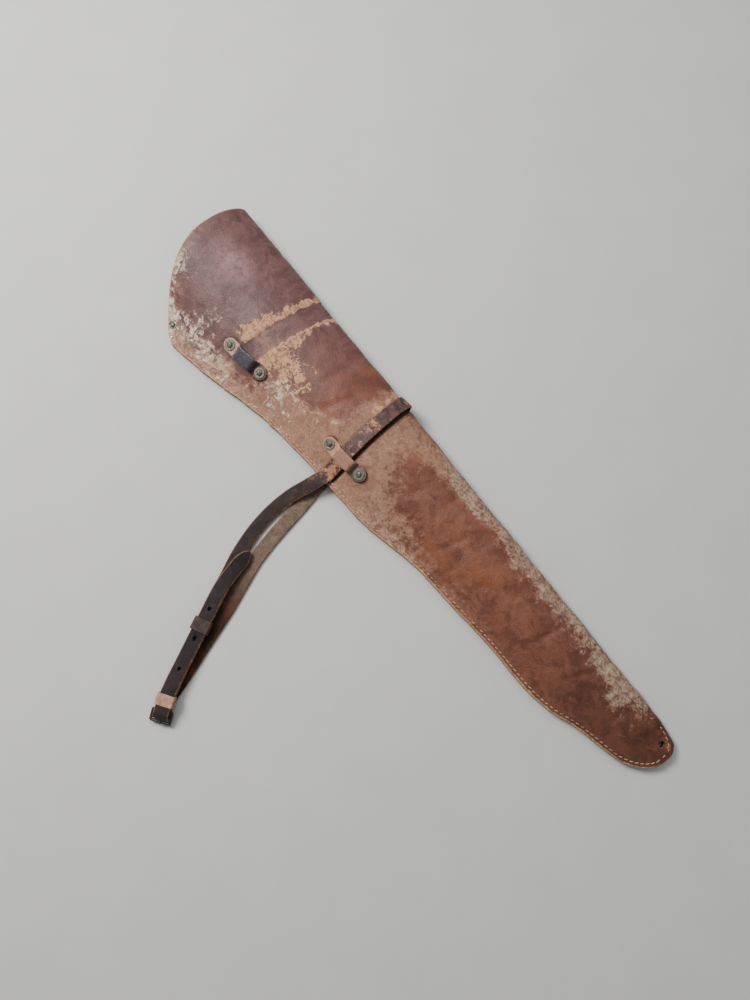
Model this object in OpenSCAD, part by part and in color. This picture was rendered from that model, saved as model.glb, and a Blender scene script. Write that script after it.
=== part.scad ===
// Leather saddle scabbard for a carbine, lying on its back with its strap buckled beside it.
// Working coordinates: u runs from the mouth to the toe, v from the fold (0) towards the seam
// (negative), z up from the floor. in_frame() moves them to the part's own frame, whose origin
// is under the middle of the whole object: +X towards the toe, +Y towards the fold.

/* [Case outline] */
// Length from the mouth's crown to the toe
body_len = 762; // [700:1:820]
// Width at the seam's corner of the mouth
mouth_width = 162; // [150:1:170]
// Radius of the D-shaped mouth edge
mouth_radius = 130; // [125:1:150]
// Distance of the mouth's crown from the fold
mouth_crown = 40; // [30:1:50]
// Width of the case at chosen distances from the mouth
seam_line = [[85, 162], [140, 151], [205, 134], [260, 126], [320, 121], [375, 117], [418, 108], [450, 101],
    [500, 97], [560, 92], [620, 90], [650, 85], [680, 74], [722, 64]]; // [distance, width]
// Length of the rounded toe
toe_len = 40; // [36:1:44]
// Distance of the toe's tip from the fold
toe_tip = 26; // [22:1:30]

/* [Case thickness] */
// Thickness of the hide
hide_t = 3.4; // [3:0.1:4]
// Thickness of the welt between the two leaves
welt_t = 3; // [2.5:0.1:3.5]
// Height of the arched front leaf at chosen distances from the mouth
crest_line = [[0, 37], [150, 36], [300, 33], [420, 29], [550, 23], [660, 16], [722, 11.5],
    [762, 10.2]]; // [distance, height]
// Width of the flat sewn band along the seam
band_w = 10; // [8:0.5:12]
// Extra width of that band at the mouth's corner
band_extra = 15; // [12:0.5:18]

/* [Thread, rivets and holes] */
// Pitch of the seam stitches
stitch_pitch = 5.8; // [5:0.1:7]
// Length of one stitch
stitch_len = 4.2; // [3.5:0.1:4.8]
// Radius of the linen thread
thread_r = 0.5; // [0.4:0.05:0.6]
// Distance of the stitches from the edge
stitch_inset = 4.5; // [4:0.1:6]
// Radius of the rivet shanks
rivet_r = 2; // [1.8:0.1:2.2]
// Radius of the burrs on the keeper rivets
burr_r = 6.35; // [6:0.05:6.6]
// Radius of the drain hole in the toe
toe_hole_r = 3.5; // [3:0.1:4]
// Distance of the drain hole from the mouth
toe_hole_u = 747; // [745:1:748]
// Distance of the drain hole from the fold
toe_hole_v = 15.5; // [14:0.5:18]

/* [Keepers] */
// Width of the leather keepers
keeper_w = 16; // [14:0.5:17]
// Thickness of the keepers
keeper_t = 2.8; // [2.4:0.1:3]
// Distance between the two rivets of a keeper
rivet_gap = 46; // [44:1:48]
// Height of the strap's slot under a keeper
slot_h = 4; // [3.8:0.1:4.4]
// Middle of the upper keeper: distance from the mouth
upper_u = 156; // [154:1:158]
// Middle of the upper keeper: distance from the fold
upper_v = 107; // [105:1:109]
// Middle of the lower keeper: distance from the mouth
lower_u = 313; // [312:1:314]
// Middle of the lower keeper: distance from the fold
lower_v = 90; // [89:1:91]

/* [Strap] */
// Width of the strap
strap_w = 16; // [15:0.5:16.5]
// Thickness of the strap
strap_t = 2.8; // [2.6:0.1:3]
// Thickness of the skived chape that folds round the heel bar
chape_t = 1.8; // [1.6:0.1:2]
// Radius of the punched holes
punch_r = 2.3; // [2:0.1:2.5]
// Pitch of the punched holes
punch_pitch = 34; // [33:1:35]
// Heading of the buckle end, in degrees from the case's cross direction
buckle_heading = 36; // [35:1:37]
// Heading of the straight doubled stretch
billet_heading = 27; // [26:1:28]
// Heel bar: distance from the mouth
heel_u = 405; // [404:1:406]
// Heel bar: distance from the fold
heel_v = 400; // [399:1:401]
// Heel bar: height of its axis above the floor
heel_z = 7; // [6.9:0.1:7.1]

/* [Buckle] */
// Radius of the heel bar
heel_r = 1.5; // [1.4:0.05:1.55]
// Radius of the frame's side bars and front bar
frame_r = 1.6; // [1.4:0.1:1.7]
// Distance between the heel bar and the front bar
frame_len = 11.5; // [11:0.5:14]
// Distance of each side bar from the middle
frame_half = 10.3; // [10.2:0.1:11]
// Droop of the frame at rest, in degrees
frame_droop = 10; // [9:1:11]
// Width of the tongue
tongue_w = 3; // [2.6:0.1:3.2]

/* [Hidden] */
$fn = 48;

// distance from the fold to the origin
fold_offset = 207.5;
// thickness of the three layers in the sewn band
band_h = 2 * hide_t + welt_t;
// gap kept between the strap and what it lies on
play = 0.4;
// height the case is lifted where the strap passes beneath it
lift_h = strap_t + play;
// place and half width of that lift
lift_u = 308;
lift_flat = 14;
lift_fade = 90;
// share of the width, from the seam, at which the front leaf is highest
crest_share = 0.6;
// width of the rounded fold where the toe is flat
toe_round = 9;
// distance from the mouth at which the front leaf starts to flatten towards the toe
flat_from = 560;
// share of the height at which the fold is widest
fold_share = 0.42;
// width over which the back leaf rounds up into the fold
fold_round = 13;
// distances over which the slant and the bulge of the mouth fade out
slant_fade = 220;
bulge_fade = 150;
mouth_u = seam_line[0][0];
toe_start = body_len - toe_len;
toe_half = seam_line[len(seam_line) - 1][1] - toe_tip;
// rate at which the case still narrows where its toe begins
toe_slope = 0.22;
// stations along the case, stations round the toe, points across a section
n_long = 46;
n_toe = 11;
n_band = 4;
n_rise = 12;
n_fold = 9;
n_under = 6;
n_flat = 6;
toe_sweep = 84;

function mix(a, b, k) = a + (b - a) * k;
function clamp(x) = min(1, max(0, x));
function unit(p) = p / norm(p);

// Smooth value between the rows of a two-column table.
function slope_at(t, i) =
    let (a = max(0, i - 1), b = min(len(t) - 1, i + 1))
    (t[b][1] - t[a][1]) / (t[b][0] - t[a][0]);
function row_of(t, x, i = 0) = (i >= len(t) - 2 || x < t[i + 1][0]) ? i : row_of(t, x, i + 1);
function smooth_lookup(t, x) =
    let (i = row_of(t, x), w = t[i + 1][0] - t[i][0], k = clamp((x - t[i][0]) / w))
    let (m0 = slope_at(t, i) * w, m1 = slope_at(t, i + 1) * w)
    (2 * pow(k, 3) - 3 * k * k + 1) * t[i][1] + (pow(k, 3) - 2 * k * k + k) * m0
    + (3 * k * k - 2 * pow(k, 3)) * t[i + 1][1] + (pow(k, 3) - k * k) * m1;

// ---- plan of the case: a station is named by its angle (toe) or distance (rest) on the seam ----
// stations 0 to n_long run along the seam, the rest go round the toe
function seam_u(k) = k <= n_long ? mix(mouth_u, toe_start, k / n_long)
    : toe_start + toe_len * sin(toe_sweep * (k - n_long) / n_toe);
function toe_cos(k) = k <= n_long ? 1 : cos(toe_sweep * (k - n_long) / n_toe);
function seam_depth(k) = k <= n_long ? smooth_lookup(seam_line, seam_u(k))
    : toe_tip + (toe_half - toe_slope * (seam_u(k) - toe_start)) * toe_cos(k);
function fold_depth(k) = toe_tip * (1 - pow(toe_cos(k), 0.3));
function mouth_edge(depth) = mouth_radius - sqrt(pow(mouth_radius, 2) - pow(depth - mouth_crown, 2));
function fade(k, reach) = pow(1 - clamp((seam_u(k) - mouth_u) / reach), 2);
function fold_u(k) = seam_u(k) - (mouth_u - mouth_edge(0)) * fade(k, slant_fade);
// q goes from 0 at the seam to 1 at the fold
function plan_u(k, q) =
    let (chord = mix(mouth_u, mouth_edge(0), q), bulge = chord - mouth_edge(mouth_width * (1 - q)))
    mix(seam_u(k), fold_u(k), q) - bulge * fade(k, bulge_fade);
function plan_v(k, q) = -mix(seam_depth(k), fold_depth(k), q);
function station_len(k) = seam_depth(k) - fold_depth(k);
function base_z(u) = lift_h * (1 + cos(180 * clamp((abs(u - lift_u) - lift_flat) / lift_fade))) / 2;
function band_of(k) = min(band_w + band_extra * fade(k, 90), station_len(k) * 0.5);
function share_of(k) = mix(crest_share, max(crest_share, 1 - toe_round / station_len(k)),
    clamp((seam_u(k) - flat_from) / (toe_start - flat_from)));
function crest_of(k) = smooth_lookup(crest_line, (seam_u(k) + fold_u(k)) / 2);

// ---- section of the case at a station; t is how far inside the outer surface it lies ----
function rise_pt(k, t, i) =
    let (d = mix(band_of(k), station_len(k) * share_of(k), i / n_rise))
    [d, band_h - t + (crest_of(k) - band_h) * sin(90 * i / n_rise)];
function fold_pt(k, t, a) =
    let (run = station_len(k) * (1 - share_of(k)) - t, low = crest_of(k) * fold_share)
    [station_len(k) * share_of(k) + run * sin(a), low + (crest_of(k) - t - low) * cos(a)];
function under_pt(k, t, a) =
    let (r = min(fold_round, station_len(k) * 0.3), low = crest_of(k) * fold_share)
    [station_len(k) - t - (r - t / 2) * (1 - cos(a)), low - (low - t) * sin(a)];
function section(k, t) = concat(
    [for (i = [0:n_band - 1]) [band_of(k) * i / n_band, band_h - t]],
    [for (i = [0:n_rise]) rise_pt(k, t, i)],
    [for (i = [1:n_fold]) fold_pt(k, t, 90 * i / n_fold)],
    [for (i = [1:n_under]) under_pt(k, t, 90 * i / n_under)],
    [for (i = [n_flat - 1:-1:0]) [under_pt(k, t, 90)[0] * i / n_flat, t]]);
function placed(k, p) =
    let (q = p[0] / station_len(k), u = plan_u(k, q))
    [u, plan_v(k, q), p[1] + base_z(u)];
function ring_of(k) =
    let (outer = section(k, 0), inner = section(k, hide_t), n = len(outer))
    concat([for (p = outer) placed(k, p)], [for (i = [n - 1:-1:0]) placed(k, inner[i])]);

// ---- points on the outside of the front leaf ----
function top_at(k, d) =
    let (b = band_of(k), c = station_len(k) * share_of(k), low = crest_of(k) * fold_share)
    d <= b ? band_h
    : d <= c ? band_h + (crest_of(k) - band_h) * sin(90 * (d - b) / (c - b))
    : low + (crest_of(k) - low) * sqrt(1 - pow(clamp((d - c) / (station_len(k) - c)), 2));
// station and share of the width that lie over the plan point u, v
function station_at(u, v, n = 9, k = -1) =
    let (kk = k < 0 ? n_long * clamp((u - mouth_u) / (toe_start - mouth_u)) : k)
    let (q = clamp((v + seam_depth(kk)) / station_len(kk)), miss = u - plan_u(kk, q))
    n == 0 ? [kk, q] : station_at(u, v, n - 1, max(0, kk + miss * n_long / (toe_start - mouth_u)));
function top_z(u, v) =
    let (s = station_at(u, v))
    top_at(s[0], s[1] * station_len(s[0])) + base_z(u);
// slopes of the front leaf, in degrees, along u and along v
function pitch(u, v) = atan((top_z(u + 20, v) - top_z(u - 20, v)) / 40);
function roll(u, v) = atan((top_z(u, v + 6) - top_z(u, v - 6)) / 12);

// ---- strips and skins ----
// skin over rings of equal length, closed at both ends by a flat strip or a fan
module ring_skin(rings, paired_ends) {
    n = len(rings[0]);
    m = len(rings);
    sides = [for (i = [0:m - 2]) for (j = [0:n - 1])
        let (a = i * n + j, b = i * n + (j + 1) % n)
        each [[a, b, b + n], [a, b + n, a + n]]];
    last = (m - 1) * n;
    ends = paired_ends
        ? [for (j = [0:n / 2 - 2]) let (a = j, b = j + 1, c = n - 2 - j, d = n - 1 - j)
            each [[b, a, d], [b, d, c], [last + a, last + b, last + c], [last + a, last + c, last + d]]]
        : [for (j = [1:n - 2]) each [[j + 1, j, 0], [last, last + j, last + j + 1]]];
    polyhedron([for (r = rings) each r], concat(sides, ends));
}

// ---- case ----
module hide_skin() {
    ring_skin([for (k = [0:n_long + n_toe]) ring_of(k)], true);
}

// the upper and lower keepers' places: middle, heading, and slopes of the leaf there
function keeper_place(upper) = upper ? [upper_u, -upper_v, 7] : [lower_u, -lower_v, 5];
module at_keeper(upper) {
    p = keeper_place(upper);
    translate([p[0], p[1], top_z(p[0], p[1])]) rotate([roll(p[0], p[1]), 0, 0])
        rotate([0, -pitch(p[0], p[1]), p[2]]) children();
}
module at_rivet(upper, side) {
    at_keeper(upper) translate([side * rivet_gap / 2, 0, 0]) children();
}
// side -1 is the end near the mouth, +1 the end near the toe
module rivet_bore(upper, side) {
    at_rivet(upper, side) translate([0, 0, -8]) cylinder(r = rivet_r + 0.1, h = 12);
}

mouth_rivet_at = [67, -147];
tack_at = [78, -156];
module corner_bores() {
    translate([mouth_rivet_at[0], mouth_rivet_at[1], -1]) cylinder(r = rivet_r + 0.1, h = band_h + 4);
    translate([mouth_rivet_at[0], mouth_rivet_at[1], -1]) cylinder(r = 5.2, h = 2.3);
    translate([tack_at[0], tack_at[1], 2]) cylinder(r = 0.8, h = band_h);
}
module toe_bore() {
    translate([toe_hole_u, -toe_hole_v, -2]) cylinder(r = toe_hole_r, h = 20);
}

module in_frame() {
    translate([-body_len / 2, fold_offset, 0]) children();
}

module scabbard_body() {
    color([0.42, 0.24, 0.17]) in_frame() difference() {
        hide_skin();
        for (upper = [true, false]) for (side = [-1, 1]) rivet_bore(upper, side);
        corner_bores();
        toe_bore();
    }
}

// width of the welt's skived inner edge
welt_skive = 6;
// the welt fills the sewn band and, round the toe, nearly the whole width
function welt_width(k) = k <= n_long - 3 ? band_of(k) - 0.3
    : mix(band_of(k), station_len(k) - hide_t - 1.5, clamp((k - n_long + 3) / 4));
// its inner edge is skived on both faces, so it clears the inside of the fold round the toe
function welt_ring(k) =
    let (w = welt_width(k), s = w - welt_skive, low = hide_t + 0.02, high = hide_t + welt_t - 0.02)
    [for (p = [[0.3, low], [s, low], [w, low + 1], [w, high - 0.6], [s, high], [0.3, high]])
        placed(k, p)];
module seam_welt() {
    color([0.36, 0.22, 0.15]) in_frame() difference() {
        ring_skin([for (k = [0:n_long + n_toe]) welt_ring(k)], false);
        corner_bores();
        toe_bore();
    }
}

// ---- thread ----
// a stitch lying along x
module stitch(length) {
    translate([-length / 2, 0, 0]) rotate([0, 90, 0]) cylinder(r = thread_r, h = length, $fn = 6);
}
// stitch line along the seam, by distance from the mouth
function stitch_v(u) = -(smooth_lookup(seam_line, u) - stitch_inset);
// stitch line round the toe: 0 where the toe begins, 90 at its tip, on to 180 up the fold
function toe_line(a) =
    let (run = (toe_len - stitch_inset) * sin(a), in = toe_half - stitch_inset - toe_slope * run)
    [toe_start + run, a <= 90 ? -toe_tip - in * cos(a)
        : -toe_tip + (toe_tip - stitch_inset) * pow(-cos(a), 0.5)];
function toe_step(a) = stitch_pitch / norm(toe_line(a + 1) - toe_line(a));
function toe_walk(a) = a > toe_end ? [a] : concat([a], toe_walk(a + toe_step(a)));
toe_end = 172;
// rise is the height of the leaf there above the sewn band
module stitch_between(a, b, rise = 0) {
    m = (a + b) / 2;
    translate([m[0], m[1], band_h + base_z(m[0]) + thread_r + 0.12 + rise])
        rotate([0, 0, atan2(b[1] - a[1], b[0] - a[0])]) stitch(stitch_len);
}
n_seam = floor((toe_start - mouth_u - 8) / stitch_pitch);
seam_first = toe_start - n_seam * stitch_pitch;
// the stitches under the strap are pressed into the hide, and left out
strap_mark = 313;
strap_mark_half = 10;
toe_rise = 0.85;
module seam_thread() {
    color([0.80, 0.70, 0.52]) in_frame() {
        for (i = [0:n_seam - 1]) {
            u = seam_first + i * stitch_pitch;
            if (abs(u + stitch_pitch / 2 - strap_mark) > strap_mark_half)
                stitch_between([u, stitch_v(u)], [u + stitch_pitch, stitch_v(u + stitch_pitch)]);
        }
        ends = toe_walk(0);
        for (i = [0:len(ends) - 2])
            stitch_between(toe_line(ends[i]), toe_line(ends[i + 1]), toe_rise * clamp((ends[i] - 40) / 50));
    }
}

// ---- keepers and their rivets ----
// raised share of a keeper at x from its middle
function arch(x) = (1 - cos(180 * clamp((rivet_gap / 2 - burr_r - abs(x)) / 5.5))) / 2;
keeper_half = rivet_gap / 2 + keeper_w / 2;
arch_xs = [for (i = [-20:20]) i * (rivet_gap / 2 - burr_r) / 20];
keeper_foot = 0.35;
module keeper_side() {
    upper_line = [for (x = arch_xs) [x, keeper_foot + keeper_t + slot_h * arch(x)]];
    lower_line = [for (i = [len(arch_xs) - 1:-1:0]) [arch_xs[i], keeper_foot + slot_h * arch(arch_xs[i])]];
    polygon(concat([[-keeper_half, keeper_foot + keeper_t]], upper_line,
        [[keeper_half, keeper_foot + keeper_t], [keeper_half, keeper_foot]], lower_line,
        [[-keeper_half, keeper_foot]]));
}
module keeper(upper) {
    at_keeper(upper) difference() {
        intersection() {
            translate([0, keeper_w / 2, 0]) rotate([90, 0, 0]) linear_extrude(keeper_w) keeper_side();
            union() {
                translate([-rivet_gap / 2, -keeper_w / 2, -1]) cube([rivet_gap, keeper_w, 20]);
                for (side = [-1, 1]) translate([side * rivet_gap / 2, 0, -1]) cylinder(r = keeper_w / 2, h = 20);
            }
        }
        for (side = [-1, 1]) translate([side * rivet_gap / 2, 0, -1]) cylinder(r = rivet_r + 0.1, h = 8);
    }
}
module upper_keeper() { color([0.30, 0.20, 0.20]) in_frame() keeper(true); }
module lower_keeper() { color([0.62, 0.40, 0.32]) in_frame() keeper(false); }

burr_z = keeper_foot + keeper_t + 0.05;
burr_t = 1.1;
// flat head inside the leaf, shank, and the peened dome over the burr
module rivet(head_z, head_r, top_z) {
    rotate_extrude() polygon(concat(
        [[0, head_z - 1.1], [head_r - 0.4, head_z - 1.1], [head_r, head_z - 0.7], [head_r, head_z],
            [rivet_r, head_z], [rivet_r, top_z]],
        [for (i = [0:6]) [3.3 * cos(15 * i), top_z + 0.1 + 1.5 * sin(15 * i)]]));
}
module burr(r) {
    difference() {
        rotate_extrude() polygon([[0, 0], [r - 0.3, 0], [r, 0.3], [r, 0.6], [r - 0.5, burr_t],
            [4, burr_t], [3.4, burr_t - 0.15], [0, burr_t - 0.15]]);
        translate([0, 0, -1]) cylinder(r = rivet_r + 0.05, h = 4);
    }
}
module keeper_rivet(upper, side) {
    at_rivet(upper, side) rivet(-hide_t - 0.25, 5, burr_z + burr_t - 0.1);
}
module keeper_burr(upper, side) {
    at_rivet(upper, side) translate([0, 0, burr_z]) burr(burr_r);
}
brass = [0.38, 0.36, 0.24];
module upper_rivet_near_mouth() { color(brass) in_frame() keeper_rivet(true, -1); }
module upper_rivet_near_toe() { color(brass) in_frame() keeper_rivet(true, 1); }
module lower_rivet_near_mouth() { color(brass) in_frame() keeper_rivet(false, -1); }
module lower_rivet_near_toe() { color(brass) in_frame() keeper_rivet(false, 1); }
module upper_burr_near_mouth() { color(brass) in_frame() keeper_burr(true, -1); }
module upper_burr_near_toe() { color(brass) in_frame() keeper_burr(true, 1); }
module lower_burr_near_mouth() { color(brass) in_frame() keeper_burr(false, -1); }
module lower_burr_near_toe() { color(brass) in_frame() keeper_burr(false, 1); }

// ---- hardware in the mouth's corner ----
corner_burr_r = 4.6;
module mouth_rivet() {
    color(brass) in_frame() translate([mouth_rivet_at[0], mouth_rivet_at[1], 0])
        rivet(1.25, 4.8, band_h + burr_t);
}
module mouth_burr() {
    color(brass) in_frame() translate([mouth_rivet_at[0], mouth_rivet_at[1], band_h + 0.05])
        burr(corner_burr_r);
}
module corner_tack() {
    color([0.72, 0.56, 0.26]) in_frame() translate([tack_at[0], tack_at[1], 0])
        rotate_extrude() polygon(concat([[0, 2.6], [0.7, 3.6], [0.7, band_h + 0.05], [2, band_h + 0.05]],
            [for (i = [1:6]) [2 * cos(15 * i), band_h + 0.05 + 0.9 * sin(15 * i)]]));
}

// ---- strap: the line it follows near the buckle ----
// s is the distance beyond the heel bar, negative back along the strap
bend_from = -5;
bend_to = -35;
bend_r = (bend_from - bend_to) * 180 / (PI * (buckle_heading - billet_heading));
function heading_at(s) = mix(buckle_heading, billet_heading, clamp((bend_from - s) / (bend_from - bend_to)));
function out_dir(a) = [sin(a), -cos(a), 0];
function side_dir(a) = [cos(a), sin(a), 0];
heel_at = [heel_u, -heel_v, heel_z];
function turned(a) = bend_r * [cos(buckle_heading) - cos(a), sin(buckle_heading) - sin(a), 0];
function line_at(s) =
    let (a = heading_at(s))
    [heel_u, -heel_v, 0] + max(s, bend_from) * out_dir(buckle_heading) + turned(a)
    + min(0, s - bend_to) * out_dir(billet_heading);
// heights of the lower run's top layer (strand) along that line
function strand_z(s) = s > bend_to ? mix(heel_z + heel_r + 0.3 + chape_t / 2, 8, s / bend_to)
    : 8 - (bend_to - s) * fall;
fall = 0.0168;
layer = strap_t + 0.3;

// key points: [u, v, z, heading, half thickness, roll, half width]
function on_line(s, z, ht = strap_t / 2) =
    concat([line_at(s)[0], line_at(s)[1], z, heading_at(s), ht], [0, strap_w / 2]);
function free_pt(u, v, z, heading, roll = 0, hw = strap_w / 2) = [u, v, z, heading, strap_t / 2, roll, hw];
wrap_r = heel_r + 0.3 + chape_t / 2;
turn_s = 2;
turn_low = strap_t / 2;
turn_top = strand_z(0) + chape_t / 2 + 0.3 + strap_t / 2;
turn_r = (turn_top - turn_low) / 2;
turn_z = turn_low + turn_r;

chape_end = -40;
// distance of the chape's middle below the strand's
chape_gap = 2.5;
chape_keys = [
    on_line(chape_end, strand_z(chape_end) - chape_gap - 0.05, chape_t / 2 - 0.2),
    for (s = [-33, -26]) on_line(s, strand_z(s) - chape_gap, chape_t / 2),
    on_line(-18, 5.35, chape_t / 2),
    on_line(-10, 4.75, chape_t / 2),
    on_line(-5, heel_z - wrap_r + 0.1, chape_t / 2),
    for (s = [-2.4, -1]) on_line(s, heel_z - wrap_r, chape_t / 2),
    for (a = [-90:30:90]) on_line(wrap_r * cos(a), heel_z + wrap_r * sin(a), chape_t / 2)];
strand_keys = [
    for (s = [-1, -2.5, -5]) on_line(s, strand_z(s), chape_t / 2),
    on_line(-10, strand_z(-10), strap_t / 2 - 0.25),
    for (s = [-20, -35, -60, -95, -130]) on_line(s, strand_z(s)),
    free_pt(333, -265.5, 4.9, 25),
    free_pt(321, -242, 3.1, 21),
    free_pt(311, -214, 2.2, 15),
    free_pt(305.5, -186, 2.3, 6),
    free_pt(305, -160, 5, -3),
    free_pt(308.5, -140, 10.8, -1),
    free_pt(311, -126, 14.6, 3)];
// across the front, round the fold and back beneath, always the same distance off the hide
off = play + strap_t / 2;
cross_station = (lift_u - mouth_u) / (toe_start - mouth_u) * n_long;
cross_len = station_len(cross_station);
cross_lean = 5;
cross_from = 313;
cross_to = 303;
function cross_pt(p) =
    free_pt(mix(cross_from, cross_to, clamp(p[0] / cross_len)), p[0] - cross_len, p[1] + lift_h, cross_lean);
cross_keys = [
    cross_pt([6, band_h + off]),
    for (d = [14, 22, 31, 40, 50, 62, 72]) cross_pt([d, top_at(cross_station, d) + off]),
    for (a = [18:18:90]) cross_pt(fold_pt(cross_station, -off - 0.3, a)),
    for (a = [30:30:90]) cross_pt(under_pt(cross_station, -off - 0.3, a) + (a == 90 ? [0, 0.3] : [0, 0])),
    for (d = [cross_len - 30, cross_len * 0.5, 20, 2]) cross_pt([d, -off])];
return_keys = [
    free_pt(315.5, -137, turn_low, 12),
    free_pt(321.5, -165, turn_low, 11),
    free_pt(328, -198, turn_low, 13),
    free_pt(336.5, -230, turn_low, 18),
    free_pt(348.5, -259, turn_low, 24),
    free_pt(361, -288, turn_low, 22),
    free_pt(372, -318, turn_low, 20),
    free_pt(382.5, -346, turn_low, 22),
    free_pt(391.5, -370, turn_low, 27),
    free_pt(396.5, -384, turn_low, 32),
    for (s = [-7, -2, 0.3]) on_line(s, turn_low),
    for (a = [-90:22.5:90]) on_line(turn_s + turn_r * cos(a), turn_z + turn_r * sin(a))];
billet_keys = [
    for (s = [0.3, -2, -6, -12]) on_line(s, turn_top + 0.004 * s),
    for (s = [-20, -35, -60, -95, -130]) on_line(s, strand_z(s) + layer),
    free_pt(337.5, -272, 9.1, 22, 4),
    free_pt(333, -257, 8.4, 18, 8),
    free_pt(330, -245, 7.8, 15, 11),
    free_pt(328, -236, 7.4, 14, 12, 5.6),
    free_pt(327, -231, 7.2, 14, 12, 1.6)];
strap_keys = concat(chape_keys, strand_keys, cross_keys, return_keys, billet_keys);

// smooth line through the keys
function spline(a, b, c, d, k) =
    0.5 * (2 * b + (c - a) * k + (2 * a - 5 * b + 4 * c - d) * k * k + (3 * b - a - 3 * c + d) * pow(k, 3));
function key(i) = strap_keys[min(len(strap_keys) - 1, max(0, i))];
per_key = 3;
n_strap = (len(strap_keys) - 1) * per_key;
function strap_at(i) =
    let (j = floor(i / per_key), k = i / per_key - j)
    spline(key(j - 1), key(j), key(j + 1), key(j + 2), k);
function place_of(p) = [p[0], p[1], p[2]];
function strap_ring(i) =
    let (a = place_of(strap_at(max(0, i - 0.1))), b = place_of(strap_at(min(n_strap, i + 0.1))))
    let (p = strap_at(i), run = unit(b - a), flat = side_dir(p[3]) * cos(p[5]) - [0, 0, sin(p[5])])
    let (grain = unit(cross(flat, run)))
    [for (c = [[-1, -1], [1, -1], [1, 1], [-1, 1]]) place_of(p) + flat * c[0] * p[6] + grain * c[1] * p[4]];

// turns x to the outward direction of the buckle, y to the heel bar's
module at_heel() {
    translate(heel_at) rotate([0, 0, buckle_heading - 90]) children();
}
module punch(s) {
    translate(line_at(s) + [0, 0, strand_z(s) + layer - strap_t / 2 - 0.15])
        cylinder(r = punch_r, h = strap_t + 0.8);
}
// side view of the slot that lets the tongue through the chape
slot_side = [[-5.5, -3.8], [2, -3.8], [3.9, -2], [3.9, 2], [2, 3.8], [-5.5, 3.8]];
module strap() {
    color([0.24, 0.15, 0.11]) in_frame() difference() {
        ring_skin([for (i = [0:n_strap]) strap_ring(i)], false);
        for (i = [0:3]) punch(-12 - i * punch_pitch);
        at_heel() translate([4.8, 0, 0.2]) rotate([0, 90, 0]) cylinder(r = punch_r, h = 8);
        at_heel() translate([0, 2, 0]) rotate([90, 0, 0]) linear_extrude(4) polygon(slot_side);
    }
}

// ---- loops round the doubled strap ----
// rounded rectangle standing in the x, y plane
module pill(w, h, r) {
    square([w - 2 * r, h], center = true);
    square([w, h - 2 * r], center = true);
    for (x = [-1, 1]) for (y = [-1, 1]) translate([x * (w / 2 - r), y * (h / 2 - r)]) circle(r);
}
// loop whose hole is w wide and h high, its wall t thick, length along the strap
module loop(w, h, t, length) {
    rotate([90, 0, 90]) translate([0, 0, -length / 2]) linear_extrude(length) difference() {
        pill(w + 2 * t, h + 2 * t, t + 0.6);
        pill(w, h, 0.6);
    }
}
module at_line(s, z, tilt) {
    translate(line_at(s) + [0, 0, z]) rotate([0, 0, heading_at(s) - 90]) rotate([0, -tilt, 0]) children();
}
fixed_s = -11.5;
fixed_len = 12;
loop_w = strap_w + 1;
module fixed_keeper() {
    low = strand_z(fixed_s) - strap_t / 2 - 0.1;
    high = turn_top + strap_t / 2 + 0.4;
    color([0.66, 0.47, 0.36]) in_frame() at_line(fixed_s, (low + high) / 2, 1)
        loop(loop_w, high - low, 1.3, fixed_len);
}
sliding_s = -95;
sliding_len = 14;
module sliding_keeper() {
    color([0.25, 0.16, 0.12]) in_frame() at_line(sliding_s, strand_z(sliding_s) + layer / 2, atan(fall))
        loop(loop_w, strap_t + layer + 0.8, 1.7, sliding_len);
}
// stitches on the chape's underside
chape_stitch_from = -26.5;
chape_stitch_pitch = 3.8;
chape_stitch_len = 3;
chape_stitch_r = 0.35;
module chape_thread() {
    color([0.72, 0.62, 0.46]) in_frame() for (i = [0:3]) for (side = [-1, 1]) {
        s = chape_stitch_from - chape_stitch_pitch * i;
        at_line(s, strand_z(s) - chape_gap - chape_t / 2 - chape_stitch_r - 0.2, 2)
            translate([-chape_stitch_len / 2, side * 5.2, 0]) rotate([0, 90, 0])
            cylinder(r = chape_stitch_r, h = chape_stitch_len, $fn = 6);
    }
}

// ---- buckle ----
module bar(length, r) {
    rotate([90, 0, 0]) translate([0, 0, -length / 2]) cylinder(r = r, h = length);
}
module buckle_frame() {
    color([0.07, 0.07, 0.07]) in_frame() at_heel() rotate([0, frame_droop, 0]) {
        bar(2 * frame_half, heel_r);
        translate([frame_len, 0, 0]) bar(2 * frame_half, frame_r);
        for (side = [-1, 1]) translate([0, side * frame_half, 0]) {
            rotate([0, 90, 0]) cylinder(r = frame_r, h = frame_len);
            sphere(r = frame_r);
            translate([frame_len, 0, 0]) sphere(r = frame_r);
        }
    }
}
front_at = [frame_len * cos(frame_droop), -frame_len * sin(frame_droop)];
rest_h = front_at[1] + frame_r + 0.04;
module tongue_side() {
    difference() {
        union() {
            circle(r = heel_r + 1.4);
            polygon([[0, -1.2], [front_at[0] - 3, rest_h], [front_at[0] + 1.2, rest_h],
                [front_at[0] + 1.9, rest_h + 0.5], [front_at[0] + 1.2, rest_h + 1.3],
                [front_at[0] - 3, rest_h + 1.5], [0, 1.6]]);
        }
        circle(r = heel_r + 0.08);
    }
}
module buckle_tongue() {
    color([0.10, 0.10, 0.10]) in_frame() at_heel() translate([0, tongue_w / 2, 0]) rotate([90, 0, 0])
        linear_extrude(tongue_w) tongue_side();
}

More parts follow.
